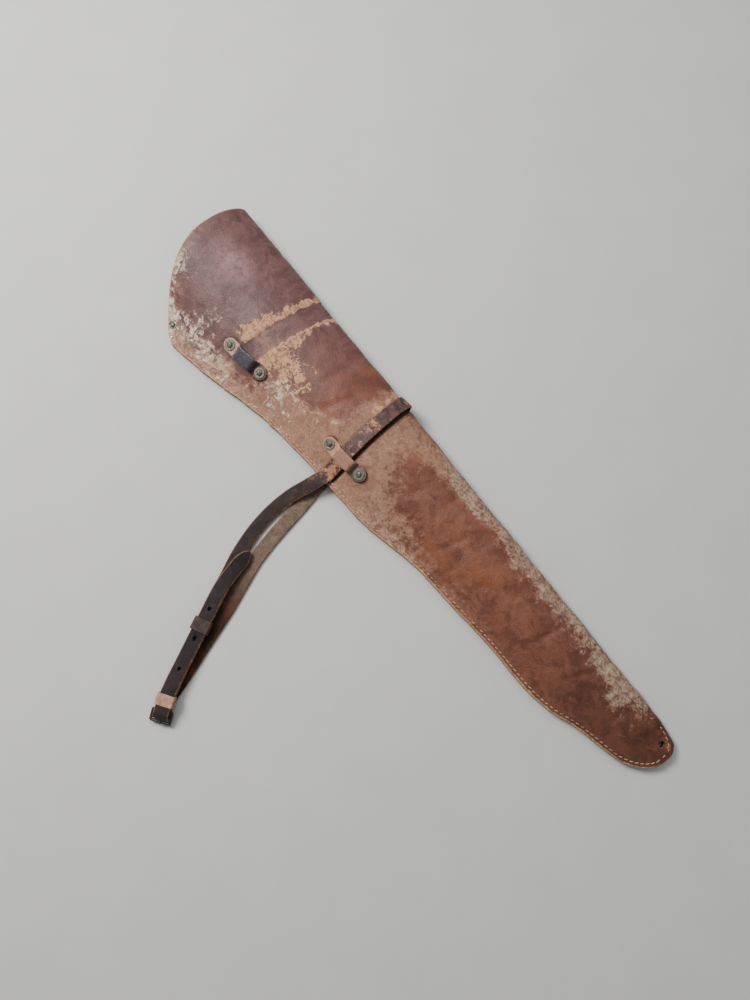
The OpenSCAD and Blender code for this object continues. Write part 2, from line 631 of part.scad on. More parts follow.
scabbard_body();
seam_welt();
seam_thread();
upper_keeper();
lower_keeper();
upper_rivet_near_mouth();
upper_rivet_near_toe();
lower_rivet_near_mouth();
lower_rivet_near_toe();
upper_burr_near_mouth();
upper_burr_near_toe();
lower_burr_near_mouth();
lower_burr_near_toe();
mouth_rivet();
mouth_burr();
corner_tack();
strap();
fixed_keeper();
sliding_keeper();
chape_thread();
buckle_frame();
buckle_tongue();
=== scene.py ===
"""Leather saddle scabbard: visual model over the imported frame, camera, floor and light."""
import math

import bmesh
import bpy
from mathutils import Matrix, Vector, noise


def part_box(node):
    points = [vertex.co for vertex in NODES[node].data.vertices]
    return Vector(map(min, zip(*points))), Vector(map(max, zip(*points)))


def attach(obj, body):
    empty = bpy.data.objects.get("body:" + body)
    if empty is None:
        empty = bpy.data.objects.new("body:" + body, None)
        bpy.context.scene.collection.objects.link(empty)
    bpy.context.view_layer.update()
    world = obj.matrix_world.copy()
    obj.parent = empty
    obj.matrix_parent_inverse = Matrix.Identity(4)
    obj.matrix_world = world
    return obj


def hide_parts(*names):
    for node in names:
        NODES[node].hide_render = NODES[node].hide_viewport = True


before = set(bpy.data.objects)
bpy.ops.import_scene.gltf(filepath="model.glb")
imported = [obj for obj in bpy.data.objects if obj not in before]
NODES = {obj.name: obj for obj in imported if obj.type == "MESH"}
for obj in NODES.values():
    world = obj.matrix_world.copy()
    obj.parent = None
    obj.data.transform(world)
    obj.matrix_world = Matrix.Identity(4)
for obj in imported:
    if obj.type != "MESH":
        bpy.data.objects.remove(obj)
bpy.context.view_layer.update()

CASE = "case"
MM = 0.001

# ---- sizes, in millimetres
# The case is measured in u (from the mouth), v (0 at the fold, negative towards the seam) and z.
CASE_LOW, CASE_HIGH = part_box("scabbard_body")
ORIGIN_U = -CASE_LOW[0] / MM
FOLD_Y = CASE_HIGH[1] / MM

BODY_LEN, MOUTH_WIDTH, MOUTH_RADIUS, MOUTH_CROWN = 762, 162, 130, 40
# distance along the seam and its depth below the fold; distance along the case and its height
SEAM_LINE = [(85, 162), (140, 151), (205, 134), (260, 126), (320, 121), (375, 117), (418, 108), (450, 101),
             (500, 97), (560, 92), (620, 90), (650, 85), (680, 74), (722, 64)]
CREST_LINE = [(0, 37), (150, 36), (300, 33), (420, 29), (550, 23), (660, 16), (722, 11.5), (BODY_LEN, 10.2)]
TOE_LEN, TOE_TIP, TOE_SLOPE, TOE_SWEEP = 40, 26, 0.22, 84
HIDE_T, WELT_T, BAND_W, BAND_EXTRA = 3.4, 3, 10, 15
BAND_H = 2 * HIDE_T + WELT_T
STRAP_W, STRAP_T, CHAPE_T, PLAY = 16, 2.8, 1.8, 0.4
LIFT_H, LIFT_U, LIFT_FLAT, LIFT_FADE = STRAP_T + PLAY, 308, 14, 90
CREST_SHARE, FOLD_SHARE, FOLD_ROUND, TOE_ROUND = 0.6, 0.42, 13, 9
SLANT_FADE, BULGE_FADE, BAND_FADE, FLAT_FROM = 220, 150, 90, 560
MOUTH_U, TOE_START = SEAM_LINE[0][0], BODY_LEN - TOE_LEN
TOE_HALF = SEAM_LINE[-1][1] - TOE_TIP
TOE_HOLE, TOE_HOLE_R = (747, -15.5), 3.5
# stations along the seam and round the toe
N_LONG, N_TOE = 46, 11
STITCH_PITCH, STITCH_LEN, STITCH_INSET, THREAD_R = 5.8, 4.6, 4.5, 0.48
KEEPER_W, KEEPER_T, RIVET_GAP, SLOT_H, KEEPER_FOOT, BURR_R = 16, 2.8, 46, 4, 0.35, 6.35
# middle and heading of each keeper
UPPER_KEEPER, LOWER_KEEPER = (156, -107, 7), (313, -90, 5)


def sin(a):
    return math.sin(math.radians(a))


def cos(a):
    return math.cos(math.radians(a))


def mix(a, b, k):
    return a + (b - a) * k


def clamp(x, low=0.0, high=1.0):
    return min(high, max(low, x))


def smooth(x):
    x = clamp(x)
    return x * x * (3 - 2 * x)


def at(u, v, z):
    """A point of the case, in metres in the frame."""
    return Vector(((u - ORIGIN_U) * MM, (v + FOLD_Y) * MM, z * MM))


def smooth_lookup(table, x):
    """Smooth value between the rows of a two-column table."""
    def slope(i):
        a, b = table[max(0, i - 1)], table[min(len(table) - 1, i + 1)]
        return (b[1] - a[1]) / (b[0] - a[0])
    i = 0
    while i < len(table) - 2 and x >= table[i + 1][0]:
        i += 1
    wide = table[i + 1][0] - table[i][0]
    k = clamp((x - table[i][0]) / wide)
    m0, m1 = slope(i) * wide, slope(i + 1) * wide
    return ((2 * k**3 - 3 * k * k + 1) * table[i][1] + (k**3 - 2 * k * k + k) * m0
            + (3 * k * k - 2 * k**3) * table[i + 1][1] + (k**3 - k * k) * m1)


# ---- plan and section of the case
def toe_angle(k):
    return TOE_SWEEP * (k - N_LONG) / N_TOE


def seam_u(k):
    if k <= N_LONG:
        return mix(MOUTH_U, TOE_START, k / N_LONG)
    return TOE_START + TOE_LEN * sin(toe_angle(k))


def toe_cos(k):
    return 1 if k <= N_LONG else cos(toe_angle(k))


def seam_depth(k):
    if k <= N_LONG:
        return smooth_lookup(SEAM_LINE, seam_u(k))
    return TOE_TIP + (TOE_HALF - TOE_SLOPE * (seam_u(k) - TOE_START)) * toe_cos(k)


def fold_depth(k):
    return TOE_TIP * (1 - toe_cos(k) ** 0.3)


def mouth_edge(depth):
    return MOUTH_RADIUS - math.sqrt(MOUTH_RADIUS**2 - (depth - MOUTH_CROWN) ** 2)


def fade(k, reach):
    return (1 - clamp((seam_u(k) - MOUTH_U) / reach)) ** 2


def fold_u(k):
    return seam_u(k) - (MOUTH_U - mouth_edge(0)) * fade(k, SLANT_FADE)


def plan(k, q):
    """u and v at share q of the width, 0 at the seam and 1 at the fold."""
    chord = mix(MOUTH_U, mouth_edge(0), q)
    bulge = chord - mouth_edge(MOUTH_WIDTH * (1 - clamp(q)))
    u = mix(seam_u(k), fold_u(k), q) - bulge * fade(k, BULGE_FADE)
    return u, -mix(seam_depth(k), fold_depth(k), q)


def station_len(k):
    return seam_depth(k) - fold_depth(k)


def base_z(u):
    return LIFT_H * (1 + cos(180 * clamp((abs(u - LIFT_U) - LIFT_FLAT) / LIFT_FADE))) / 2


def band_of(k):
    return min(BAND_W + BAND_EXTRA * fade(k, BAND_FADE), station_len(k) * 0.5)


def share_of(k):
    flat = clamp((seam_u(k) - FLAT_FROM) / (TOE_START - FLAT_FROM))
    return mix(CREST_SHARE, max(CREST_SHARE, 1 - TOE_ROUND / station_len(k)), flat)


def crest_of(k):
    return smooth_lookup(CREST_LINE, (seam_u(k) + fold_u(k)) / 2)


def top_at(k, d):
    """Height of the front leaf at distance d from the seam."""
    b, c, low = band_of(k), station_len(k) * share_of(k), crest_of(k) * FOLD_SHARE
    if d <= b:
        return BAND_H
    if d <= c:
        return BAND_H + (crest_of(k) - BAND_H) * sin(90 * (d - b) / (c - b))
    return low + (crest_of(k) - low) * math.sqrt(1 - clamp((d - c) / (station_len(k) - c)) ** 2)


def fold_pt(k, t, a):
    run, low = station_len(k) * (1 - share_of(k)) - t, crest_of(k) * FOLD_SHARE
    return station_len(k) * share_of(k) + run * sin(a), low + (crest_of(k) - t - low) * cos(a)


def under_pt(k, t, a):
    r, low = min(FOLD_ROUND, station_len(k) * 0.3), crest_of(k) * FOLD_SHARE
    return station_len(k) - t - (r - t / 2) * (1 - cos(a)), low - (low - t) * sin(a)


def station_at(u, v):
    """Station and share of the width over the plan point u, v."""
    rate = N_LONG / (TOE_START - MOUTH_U)
    k = N_LONG * clamp((u - MOUTH_U) / (TOE_START - MOUTH_U))
    for _ in range(9):
        q = clamp((v + seam_depth(k)) / station_len(k))
        k = max(0, k + (u - plan(k, q)[0]) * rate)
    return k, clamp((v + seam_depth(k)) / station_len(k))


def top_z(u, v):
    k, q = station_at(u, v)
    return top_at(k, q * station_len(k)) + base_z(u)


# ---- mesh helpers
def link(name, data):
    """A new object in the scene that holds the mesh, camera or lamp."""
    obj = bpy.data.objects.new(name, data)
    bpy.context.scene.collection.objects.link(obj)
    return obj


def loose(name, verts, faces):
    """A new mesh object that belongs to no body yet."""
    mesh = bpy.data.meshes.new(name)
    mesh.from_pydata([tuple(p) for p in verts], [], faces)
    return link(name, mesh)


def make_object(name, verts, faces, slot_name, node):
    """A smooth piece of the case's body that stands for a CAD node."""
    obj = loose(name, [at(*p) for p in verts], faces)
    obj.data.update()
    obj.data.shade_smooth()
    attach(obj, CASE)
    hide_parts(node)
    return obj


def skin(rings, folded=False):
    """Vertices and faces over equal rings, both ends closed: by one face, or by a strip if folded."""
    n = len(rings[0])
    verts = [p for r in rings for p in r]
    faces = []
    for i in range(len(rings) - 1):
        for j in range(n):
            a, b = i * n + j, i * n + (j + 1) % n
            faces.append((a, b, b + n, a + n))
    last = (len(rings) - 1) * n
    if not folded:
        return verts, faces + [tuple(reversed(range(n))), tuple(range(last, last + n))]
    for j in range(n // 2 - 1):
        a, b, c, d = j, j + 1, n - 2 - j, n - 1 - j
        faces.append((d, c, b, a))
        faces.append((last + a, last + b, last + c, last + d))
    return verts, faces


def fix_normals(obj):
    bm = bmesh.new()
    bm.from_mesh(obj.data)
    bmesh.ops.recalc_face_normals(bm, faces=bm.faces)
    bm.to_mesh(obj.data)
    bm.free()


def set_attribute(obj, name, values):
    layer = obj.data.attributes.new(name, "FLOAT", "POINT")
    layer.data.foreach_set("value", values)


def cut(obj, cutters):
    """Cuts the closed cutter meshes out of obj, then removes them."""
    for tool in cutters:
        mod = obj.modifiers.new("cut", "BOOLEAN")
        mod.operation = "DIFFERENCE"
        mod.solver = "MANIFOLD"
        mod.object = tool
    bake_modifiers(obj)
    for tool in cutters:
        bpy.data.objects.remove(tool)


def bake_modifiers(obj):
    deps = bpy.context.evaluated_depsgraph_get()
    deps.update()
    mesh = bpy.data.meshes.new_from_object(obj.evaluated_get(deps))
    obj.modifiers.clear()
    mesh.materials.clear()
    for face in mesh.polygons:
        face.material_index = 0
    obj.data = mesh


def cylinder_tool(centre, axis, radius, length, sides=40):
    """A loose closed cylinder for cut()."""
    bm = bmesh.new()
    bmesh.ops.create_cone(bm, cap_ends=True, segments=sides, radius1=radius, radius2=radius, depth=length)
    turn = Vector(axis).to_track_quat("Z", "Y").to_matrix().to_4x4()
    bmesh.ops.transform(bm, matrix=Matrix.Translation(centre) @ turn, verts=bm.verts)
    mesh = bpy.data.meshes.new("tool")
    bm.to_mesh(mesh)
    bm.free()
    return link("tool", mesh)


def toe_bore():
    return cylinder_tool(at(*TOE_HOLE, BAND_H / 2), (0, 0, 1), TOE_HOLE_R * MM, 3 * BAND_H * MM)


def fractal(u, v, z, scale, seed, octaves=4):
    """Fractal noise about 0, over a point in millimetres; scale is the size of its blotches."""
    place = Vector((u / scale + seed, v / scale - seed, z / scale + 3 * seed))
    return noise.fractal(place, 0.9, 2.1, octaves)


# ---- shader helpers
class Shade:
    """A Principled material whose node graph is built by short calls."""

    def __init__(self, name, roughness=0.6, metallic=0.0, specular=0.5):
        self.mat = bpy.data.materials.new(name)
        self.mat.use_nodes = True
        self.tree = self.mat.node_tree
        self.bsdf = next(n for n in self.tree.nodes if n.type == "BSDF_PRINCIPLED")
        values = {"Roughness": roughness, "Metallic": metallic, "Specular IOR Level": specular}
        for name, value in values.items():
            self.bsdf.inputs[name].default_value = value
        self.where = self.tree.nodes.new("ShaderNodeTexCoord").outputs["Object"]

    def put(self, socket, value):
        """Links value if it is a socket, or else sets it; a colour is given as 0 to 255 in sRGB."""
        if isinstance(value, bpy.types.NodeSocket):
            self.tree.links.new(value, socket)
        elif socket.type == "RGBA":
            socket.default_value = (*map(linear, value), 1)
        else:
            socket.default_value = value

    def node(self, kind, **inputs):
        """A new node with these inputs; an underscore stands for a space in an input's name."""
        node = self.tree.nodes.new("ShaderNode" + kind)
        for name, value in inputs.items():
            self.put(node.inputs[name.replace("_", " ")], value)
        return node

    def noise(self, size, detail=4, rough=0.55, distort=0.0, stretch=(1, 1, 1), turn=0.0, seed=0.0):
        """Noise whose blotches are about size millimetres across, longer by stretch along the turned axes."""
        spread = self.node("Mapping", Vector=self.where, Scale=stretch, Rotation=(0, 0, math.radians(turn)),
                           Location=(seed, seed * 0.7, seed * 1.3))
        spread.vector_type = "TEXTURE"
        node = self.node("TexNoise", Vector=spread.outputs[0], Scale=1 / (size * MM), Detail=detail,
                         Roughness=rough, Distortion=distort)
        return node.outputs["Fac"]

    def cells(self, size, seed=0.0):
        spread = self.node("Mapping", Vector=self.where, Location=(seed, seed, seed))
        return self.node("TexVoronoi", Vector=spread.outputs[0], Scale=1 / (size * MM)).outputs["Distance"]

    def attribute(self, name):
        node = self.node("Attribute")
        node.attribute_name = name
        return node.outputs["Fac"]

    def math(self, operation, a, b=0.0, c=0.0):
        node = self.node("Math")
        node.operation = operation
        for socket, value in zip(node.inputs, (a, b, c)):
            self.put(socket, value)
        return node.outputs[0]

    def step(self, value, low, high, to_low=0.0, to_high=1.0):
        """Smooth step of value between low and high."""
        node = self.node("MapRange", Value=value, From_Min=low, From_Max=high, To_Min=to_low, To_Max=to_high)
        node.interpolation_type = "SMOOTHSTEP"
        return node.outputs[0]

    def blend(self, a, b, *shares):
        """Colour a, with b laid over it by the product of the shares."""
        node = self.node("Mix")
        node.data_type = "RGBA"
        share = shares[0]
        for other in shares[1:]:
            share = self.math("MULTIPLY", share, other)
        self.put(node.inputs["Factor"], share)
        self.put(node.inputs[6], a)
        self.put(node.inputs[7], b)
        return node.outputs[2]

    def more(self, mask, *parts):
        """Mask plus weighted noises, each given as (noise, weight) and taken about its middle."""
        total = mask
        for value, weight in parts:
            total = self.math("MULTIPLY_ADD", self.math("SUBTRACT", value, 0.5), weight, total)
        return total

    def colour(self, value):
        self.put(self.bsdf.inputs["Base Color"], value)

    def roughness(self, value):
        self.put(self.bsdf.inputs["Roughness"], value)

    def bump(self, *layers):
        """Layers are (height socket, depth in millimetres)."""
        last = None
        for height, depth in layers:
            node = self.node("Bump", Distance=depth * MM, Height=height)
            if last is not None:
                self.put(node.inputs["Normal"], last)
            last = node.outputs[0]
        self.put(self.bsdf.inputs["Normal"], last)


def linear(c):
    """Linear value of a colour channel given as 0 to 255 in sRGB."""
    return c / 255 / 12.92 if c <= 10 else ((c / 255 + 0.055) / 1.055) ** 2.4


# ---- materials
def hide_material():
    """Old saddle leather: red-brown, purple at the mouth, rubbed to tan, caked pale and dark at the toe."""
    m = Shade("hide_leather", specular=0.24)
    where = {n: m.attribute(n) for n in HIDE_MASKS}
    broad = m.noise(46, 5, 0.6, 0.6)
    patch = m.noise(17, 6, 0.62, 0.9, seed=5.9)
    middle = m.noise(9, 6, 0.68, 0.8, seed=1.7)
    fine = m.noise(3, 6, 0.7, 0.5, seed=4.1)
    grit = m.noise(0.9, 3, 0.6, seed=8.3)
    # the finish itself, with a painted highlight near the mouth
    base = m.blend((88, 50, 38), (116, 68, 52), m.step(broad, 0.35, 0.65))
    warm = m.blend((86, 50, 37), (118, 74, 56), m.step(patch, 0.35, 0.65))
    base = m.blend(base, warm, where["red"], 0.85)
    base = m.blend(base, (124, 70, 42), where["red"], m.step(broad, 0.5, 0.7, 0, 0.5))
    violet = m.blend((74, 49, 48), (102, 72, 69), m.step(patch, 0.35, 0.7))
    base = m.blend(base, violet, where["purple"])
    # painted highlight: pale pink reflected light laid over the colour near the mouth
    base = m.blend(base, (158, 118, 120), where["painted_highlight"], m.step(middle, 0.25, 0.7))
    night = m.blend((50, 27, 20), (84, 50, 33), m.step(patch, 0.4, 0.65))
    base = m.blend(base, night, where["toe"], m.step(broad, 0.3, 0.65, 0.4, 0.9))
    base = m.blend(base, (74, 42, 38), m.step(m.more(patch, (fine, 0.25)), 0.55, 0.68, 0, 0.5))
    base = m.blend(base, (62, 36, 30), m.step(m.more(middle, (grit, 0.2)), 0.6, 0.74, 0, 0.4))
    # rubbed through to tan: a soft film, then ragged flakes with a crisp border
    tan = m.blend((128, 94, 76), (156, 120, 98), m.step(m.more(fine, (middle, 0.8)), 0.36, 0.64))
    tan = m.blend(tan, (186, 140, 110), m.step(m.more(patch, (middle, 0.4)), 0.52, 0.66, 0, 0.75))
    tan = m.blend(tan, (112, 78, 64), m.step(m.more(broad, (middle, 0.5)), 0.52, 0.64, 0, 0.6))
    film = m.step(m.more(where["film"], (patch, 0.9), (middle, 0.9), (fine, 0.8)), 0.2, 0.72)
    base = m.blend(base, tan, film, m.step(broad, 0.35, 0.6, 0.68, 0.9))
    islands = m.step(m.more(middle, (fine, 0.35), (patch, 0.7)), 0.54, 0.62)
    left = m.blend((92, 62, 56), (120, 84, 72), fine)
    base = m.blend(base, left, islands, where["film"], 0.85)
    flakes = m.step(m.more(where["scuff"], (middle, 1.5), (patch, 0.7), (fine, 0.6)), 0.66, 0.74)
    bare = m.blend((140, 100, 74), (184, 142, 110), m.step(m.more(fine, (middle, 0.6)), 0.38, 0.62))
    base = m.blend(base, bare, flakes, m.step(patch, 0.35, 0.6, 0.7, 0.95))
    # caked pale dirt, cream at the seam and grey-beige along the fold
    dust = m.step(m.more(where["dusty"], (patch, 0.6), (middle, 0.9), (fine, 0.9)), 0.34, 0.84)
    chalk = m.blend((116, 92, 78), (168, 142, 120), m.step(m.more(fine, (middle, 0.7)), 0.38, 0.66))
    base = m.blend(base, chalk, dust, 0.8)
    pale = m.step(m.more(where["white"], (patch, 0.9), (middle, 1.7), (fine, 1.2), (grit, 0.3)), 0.5, 0.9)
    cream = m.blend((156, 130, 110), (204, 190, 172), m.step(m.more(middle, (fine, 0.6)), 0.46, 0.64))
    base = m.blend(base, cream, pale, 0.72)
    # scratches, worn edges, the raw flesh side, fine dirt and painted shadow along the strap and round the
    # keeper ends
    for turn, seed in ((35, 1.1), (-62, 7.7)):
        lines = m.noise(1.5, 2, 0.4, 0.2, stretch=(22, 1, 1), turn=turn, seed=seed)
        base = m.blend(base, (186, 150, 128), m.step(lines, 0.72, 0.8, 0, 0.14))
    worn = m.step(m.more(where["edge"], (fine, 0.8), (middle, 0.6)), 0.4, 0.7)
    rim = m.blend((120, 88, 66), (174, 142, 112), m.step(fine, 0.3, 0.7))
    base = m.blend(base, rim, worn, 0.8)
    base = m.blend(base, m.blend((104, 78, 58), (136, 106, 82), fine), where["inside"])
    base = m.blend(base, (58, 36, 30), m.step(m.more(grit, (fine, 0.4)), 0.62, 0.74, 0, 0.34))
    # painted shadow: near-black laid along the strap's edges, under it, and round the keeper ends
    painted_shade = m.step(m.more(where["painted_shade"], (fine, 0.5)), 0.2, 0.9)
    base = m.blend(base, (34, 21, 17), painted_shade, 0.8)
    m.colour(base)
    covered = m.math("MAXIMUM", m.math("MAXIMUM", film, flakes), m.math("MAXIMUM", dust, pale))
    gloss = m.step(m.more(covered, (fine, 0.6)), 0.0, 1.0, 0.46, 0.8)
    m.roughness(m.math("MULTIPLY_ADD", where["inside"], 0.15, gloss))
    relief = m.math("MULTIPLY", covered, -1.0)
    swell, pores = m.noise(22, 4, 0.5, seed=2.2), m.cells(1.3)
    m.bump((swell, 0.9), (middle, 0.55), (pores, 0.14), (fine, 0.34), (grit, 0.12), (relief, 0.22))
    return m.mat


def edge_material():
    """Cut leather edge of the welt: fibrous and layered."""
    m = Shade("welt_edge", 0.85, specular=0.3)
    lines = m.noise(3, 5, 0.6, stretch=(0.12, 0.12, 4), seed=3.0)
    m.colour(m.blend((66, 42, 30), (140, 104, 76), m.step(lines, 0.35, 0.7)))
    m.bump((lines, 0.3), (m.noise(0.8, 3), 0.1))
    return m.mat


def thread_material():
    """Waxed linen thread, pale on top and grimy in its twist."""
    m = Shade("linen_thread", 0.8, specular=0.25)
    m.bsdf.inputs["Sheen Weight"].default_value = 0.25
    dirt_and_shade = m.noise(9, 4, 0.6, seed=6.0)
    ply = m.noise(0.55, 2, 0.5, stretch=(1, 1, 0.4), seed=1.0)
    clean = m.blend((178, 150, 114), (132, 104, 76), m.step(dirt_and_shade, 0.4, 0.65))
    m.colour(m.blend(clean, (92, 68, 48), m.step(ply, 0.6, 0.8, 0, 0.7)))
    m.bump((ply, 0.15))
    return m.mat


def strap_material():
    """Strap leather: nearly black grain, patched orange where it crosses the case, dull flesh side."""
    m = Shade("strap_leather", specular=0.2)
    broad, middle = m.noise(26, 5, 0.6, 0.4, seed=2.0), m.noise(7, 6, 0.7, 0.6, seed=5.0)
    fine, grit = m.noise(1.8, 4, 0.65, seed=7.0), m.noise(0.6, 2, 0.6, seed=9.0)
    names = ("front", "flesh", "edge", "billet", "pale_flesh")
    front, flesh, edge, billet, pale_flesh = map(m.attribute, names)
    grain = m.blend((20, 10, 8), (40, 22, 16), m.step(broad, 0.4, 0.7))
    grain = m.blend(grain, (66, 36, 22), m.step(m.more(middle, (fine, 0.4)), 0.58, 0.7, 0, 0.5))
    # painted sheen: a smoky blue-grey lift laid over the billet's near-black grain
    painted_billet_sheen = m.blend((24, 13, 12), (44, 31, 32), m.step(broad, 0.35, 0.7))
    grain = m.blend(grain, painted_billet_sheen, billet, 0.85)
    worn = m.blend((136, 84, 54), (176, 124, 92), m.step(m.more(fine, (middle, 0.5)), 0.4, 0.65))
    dusk = m.blend((50, 34, 33), (88, 64, 62), m.step(middle, 0.35, 0.65))
    crossing = m.blend(dusk, worn, m.step(m.more(broad, (middle, 0.5), (fine, 0.25)), 0.55, 0.63, 0, 0.85))
    grain = m.blend(grain, crossing, front)
    rubbed = m.step(m.more(edge, (middle, 1.0), (fine, 0.6)), 0.5, 0.95)
    grain = m.blend(grain, (120, 84, 62), rubbed, 0.55)
    back = m.blend((38, 20, 12), (80, 44, 26), m.step(broad, 0.35, 0.68))
    grey = m.blend((78, 61, 50), (110, 91, 77), m.step(m.more(middle, (fine, 0.5)), 0.3, 0.7))
    back = m.blend(back, grey, pale_flesh)
    both = m.blend(grain, back, flesh)
    cut_edge = m.blend((92, 64, 48), (156, 128, 108), m.step(m.more(fine, (middle, 0.6)), 0.4, 0.65))
    both = m.blend(both, cut_edge, m.step(edge, 0.8, 1.0), 0.75)
    m.colour(m.blend(both, (18, 11, 9), m.step(grit, 0.6, 0.75, 0, 0.3)))
    m.roughness(m.math("MULTIPLY_ADD", flesh, 0.25, m.step(middle, 0.3, 0.7, 0.46, 0.66)))
    m.bump((broad, 0.5), (m.cells(0.9, seed=1.0), 0.12), (fine, 0.2), (grit, 0.05))
    return m.mat


def keeper_material(name, tones):
    """Keeper leather; tones are four colours from its end near the mouth to the end near the toe."""
    m = Shade(name, specular=0.25)
    middle, fine = m.noise(6, 6, 0.65, 0.6, seed=2.6), m.noise(1.3, 4, 0.65, seed=3.3)
    along, edge = m.attribute("along"), m.attribute("edge")
    place = m.more(along, (middle, 0.5))
    body = m.blend(tones[0], tones[1], m.step(place, -0.46, -0.30))
    body = m.blend(body, tones[2], m.step(place, 0.22, 0.42))
    body = m.blend(body, tones[3], m.step(place, 0.56, 0.66))
    body = m.blend(body, (60, 44, 38), m.step(m.more(fine, (middle, 0.8)), 0.58, 0.72, 0, 0.4))
    body = m.blend(body, (206, 182, 164), m.step(m.more(fine, (edge, 0.5)), 0.74, 0.9, 0, 0.55))
    m.colour(body)
    m.roughness(m.step(m.more(m.math("ABSOLUTE", place), (fine, 0.2)), 0.25, 0.6, 0.34, 0.62))
    m.bump((m.noise(5, 4, seed=9.0), 0.5), (m.cells(0.8, seed=2.0), 0.10), (fine, 0.16))
    return m.mat


def loop_material(name, light, dark):
    """Small leather loops of the strap."""
    m = Shade(name, specular=0.25)
    middle, fine = m.noise(5, 6, 0.65, 0.5, seed=4.4), m.noise(1.2, 4, 0.65, seed=1.4)
    body = m.blend(dark, light, m.step(middle, 0.35, 0.65))
    m.colour(m.blend(body, (196, 160, 138), m.step(fine, 0.68, 0.8, 0, 0.35)))
    m.roughness(m.step(fine, 0.3, 0.7, 0.45, 0.7))
    m.bump((middle, 0.25), (m.cells(0.8, seed=5.0), 0.08), (fine, 0.1))
    return m.mat


def brass_material(name, metal, tarnish):
    """Brass gone dull: bright where rubbed, green-grey in the hollows."""
    m = Shade(name, 0.45, 0.7)
    middle, fine = m.noise(3.4, 4, 0.6, 0.3, seed=2.7), m.noise(0.5, 3, 0.6, seed=6.1)
    share = m.step(m.more(middle, (fine, 0.3)), 0.30, 0.70)
    m.colour(m.blend(metal, tarnish, share))
    m.roughness(m.step(middle, 0.35, 0.65, 0.34, 0.72))
    m.bump((middle, 0.12), (fine, 0.06))
    return m.mat


def steel_material():
    """Black japanned steel, chipped to brown rust along its edges."""
    m = Shade("japanned_steel", 0.4, 0.0, 0.5)
    middle, fine = m.noise(3, 6, 0.7, 0.5, seed=3.8), m.noise(0.6, 3, 0.6, seed=5.5)
    chips = m.step(middle, 0.58, 0.64)
    m.colour(m.blend((28, 26, 25), m.blend((92, 58, 38), (120, 96, 78), fine), chips))
    m.roughness(m.step(middle, 0.5, 0.65, 0.33, 0.8))
    m.bump((m.math("MULTIPLY", chips, -1.0), 0.08), (fine, 0.05))
    return m.mat


# ---- the hide
EDGE_ROUND = [(0.0, 0.95), (0.15, 0.42), (0.45, 0.12), (1.0, 0.0)]
BAND_STEPS = [2.2, 3.1, 3.8, 4.5, 5.2, 5.9, 7.4]
N_RISE, N_FOLD, N_UNDER, N_FLAT = 22, 16, 9, 12
LONG_STEP, TOE_STEP = 0.12, 0.16


def groove(k, d):
    """Depth of the channel that the stitches lie in."""
    here = 1 - clamp((k - N_LONG - 1) / 2)
    return 0.5 * here * max(0.0, 1 - ((d - STITCH_INSET) / 1.3) ** 2)


def section(k, t, outside):
    """The section's skin at depth t, as (d, z): from the seam over the front, round the fold and back."""
    band, length = band_of(k), station_len(k)
    run = share_of(k) * length
    steps = [d for d in BAND_STEPS if d < band - 1.2]
    steps += [mix(7.4, band, 0.5)] * (len(BAND_STEPS) - len(steps))
    steps.sort()
    pts = []
    for d, drop in EDGE_ROUND:
        pts.append((d, BAND_H - t - (drop if outside else -drop * 0.5)))
    for d in steps:
        d = min(d, band * 0.95)
        pts.append((d, BAND_H - t - (groove(k, d) if outside else 0)))
    for i in range(N_RISE + 1):
        d = mix(band, run, i / N_RISE)
        pts.append((d, BAND_H - t + (crest_of(k) - BAND_H) * sin(90 * i / N_RISE)))
    pts += [fold_pt(k, t, 90 * i / N_FOLD) for i in range(1, N_FOLD + 1)]
    pts += [under_pt(k, t, 90 * i / N_UNDER) for i in range(1, N_UNDER + 1)]
    far = pts[-1][0]
    pts += [(mix(far, band * 0.98, i / N_FLAT), t) for i in range(1, N_FLAT)]
    for d in reversed(steps):
        d = min(d, band * 0.95)
        pts.append((d, t + (groove(k, d) if outside else 0)))
    for d, drop in reversed(EDGE_ROUND):
        pts.append((d, t + (drop if outside else -drop * 0.5)))
    return pts


def hide_stations():
    """Station and inset pairs: close together at the two cut ends, whose edges are rounded."""
    ends = [(0.0, 1.1), (0.02, 0.5), (0.05, 0.15), (0.1, 0.0)]
    along = [(0.2 + i * LONG_STEP, 0.0) for i in range(int((N_LONG - 0.2) / LONG_STEP))]
    toe = [(N_LONG + i * TOE_STEP, 0.0) for i in range(int(N_TOE / TOE_STEP))]
    last = [(N_LONG + N_TOE - 0.02, 0.3), (N_LONG + N_TOE, 1.1)]
    return ends + along + toe + last


# the strip across the front where the missing upper strap lay, and where the remaining one lies
RUB_U, RUB_HALF, RUB_LEAN, RUB_END = 159, 11.5, 0.10, -102
STRAP_MIDDLE, STRAP_LEAN = 303, 0.083


def across_rub(u, v):
    """Distance from the middle of the worn strip, positive towards the toe."""
    return u - RUB_U - RUB_LEAN * (v + 50)


def rub_band(u, v):
    """1 in the worn strip."""
    inside = smooth((RUB_HALF + 0.8 - abs(across_rub(u, v))) / 1.8)
    return inside * smooth((v - RUB_END) / 12)


def crease(u, v, at_u, at_v, angle, length, width):
    """A soft furrow across the leaf."""
    x, y = u - at_u, v - at_v
    along, across = x * cos(angle) + y * sin(angle), -x * sin(angle) + y * cos(angle)
    return math.exp(-(across / width) ** 2) * smooth(1 - (along / length) ** 2)


# middle, heading, reach and width of each crease
CREASES = [(30, -60, 60, 30, 6), (235, -40, 80, 26, 4), (262, -58, 70, 34, 5), (352, -30, 78, 24, 4),
           (384, -62, 60, 30, 5), (420, -24, 84, 22, 4), (455, -60, 75, 24, 4), (520, -50, 40, 30, 5),
           (590, -34, 80, 20, 4), (640, -40, 65, 24, 4), (700, -30, 80, 18, 3.5)]


def strap_seat(u, v):
    """The channel that the strap has pressed into the front, deepest under its edge near the toe."""
    across = across_strap(u, v)
    return smooth((across + 10) / 6) * smooth((12.5 - across) / 4.5)


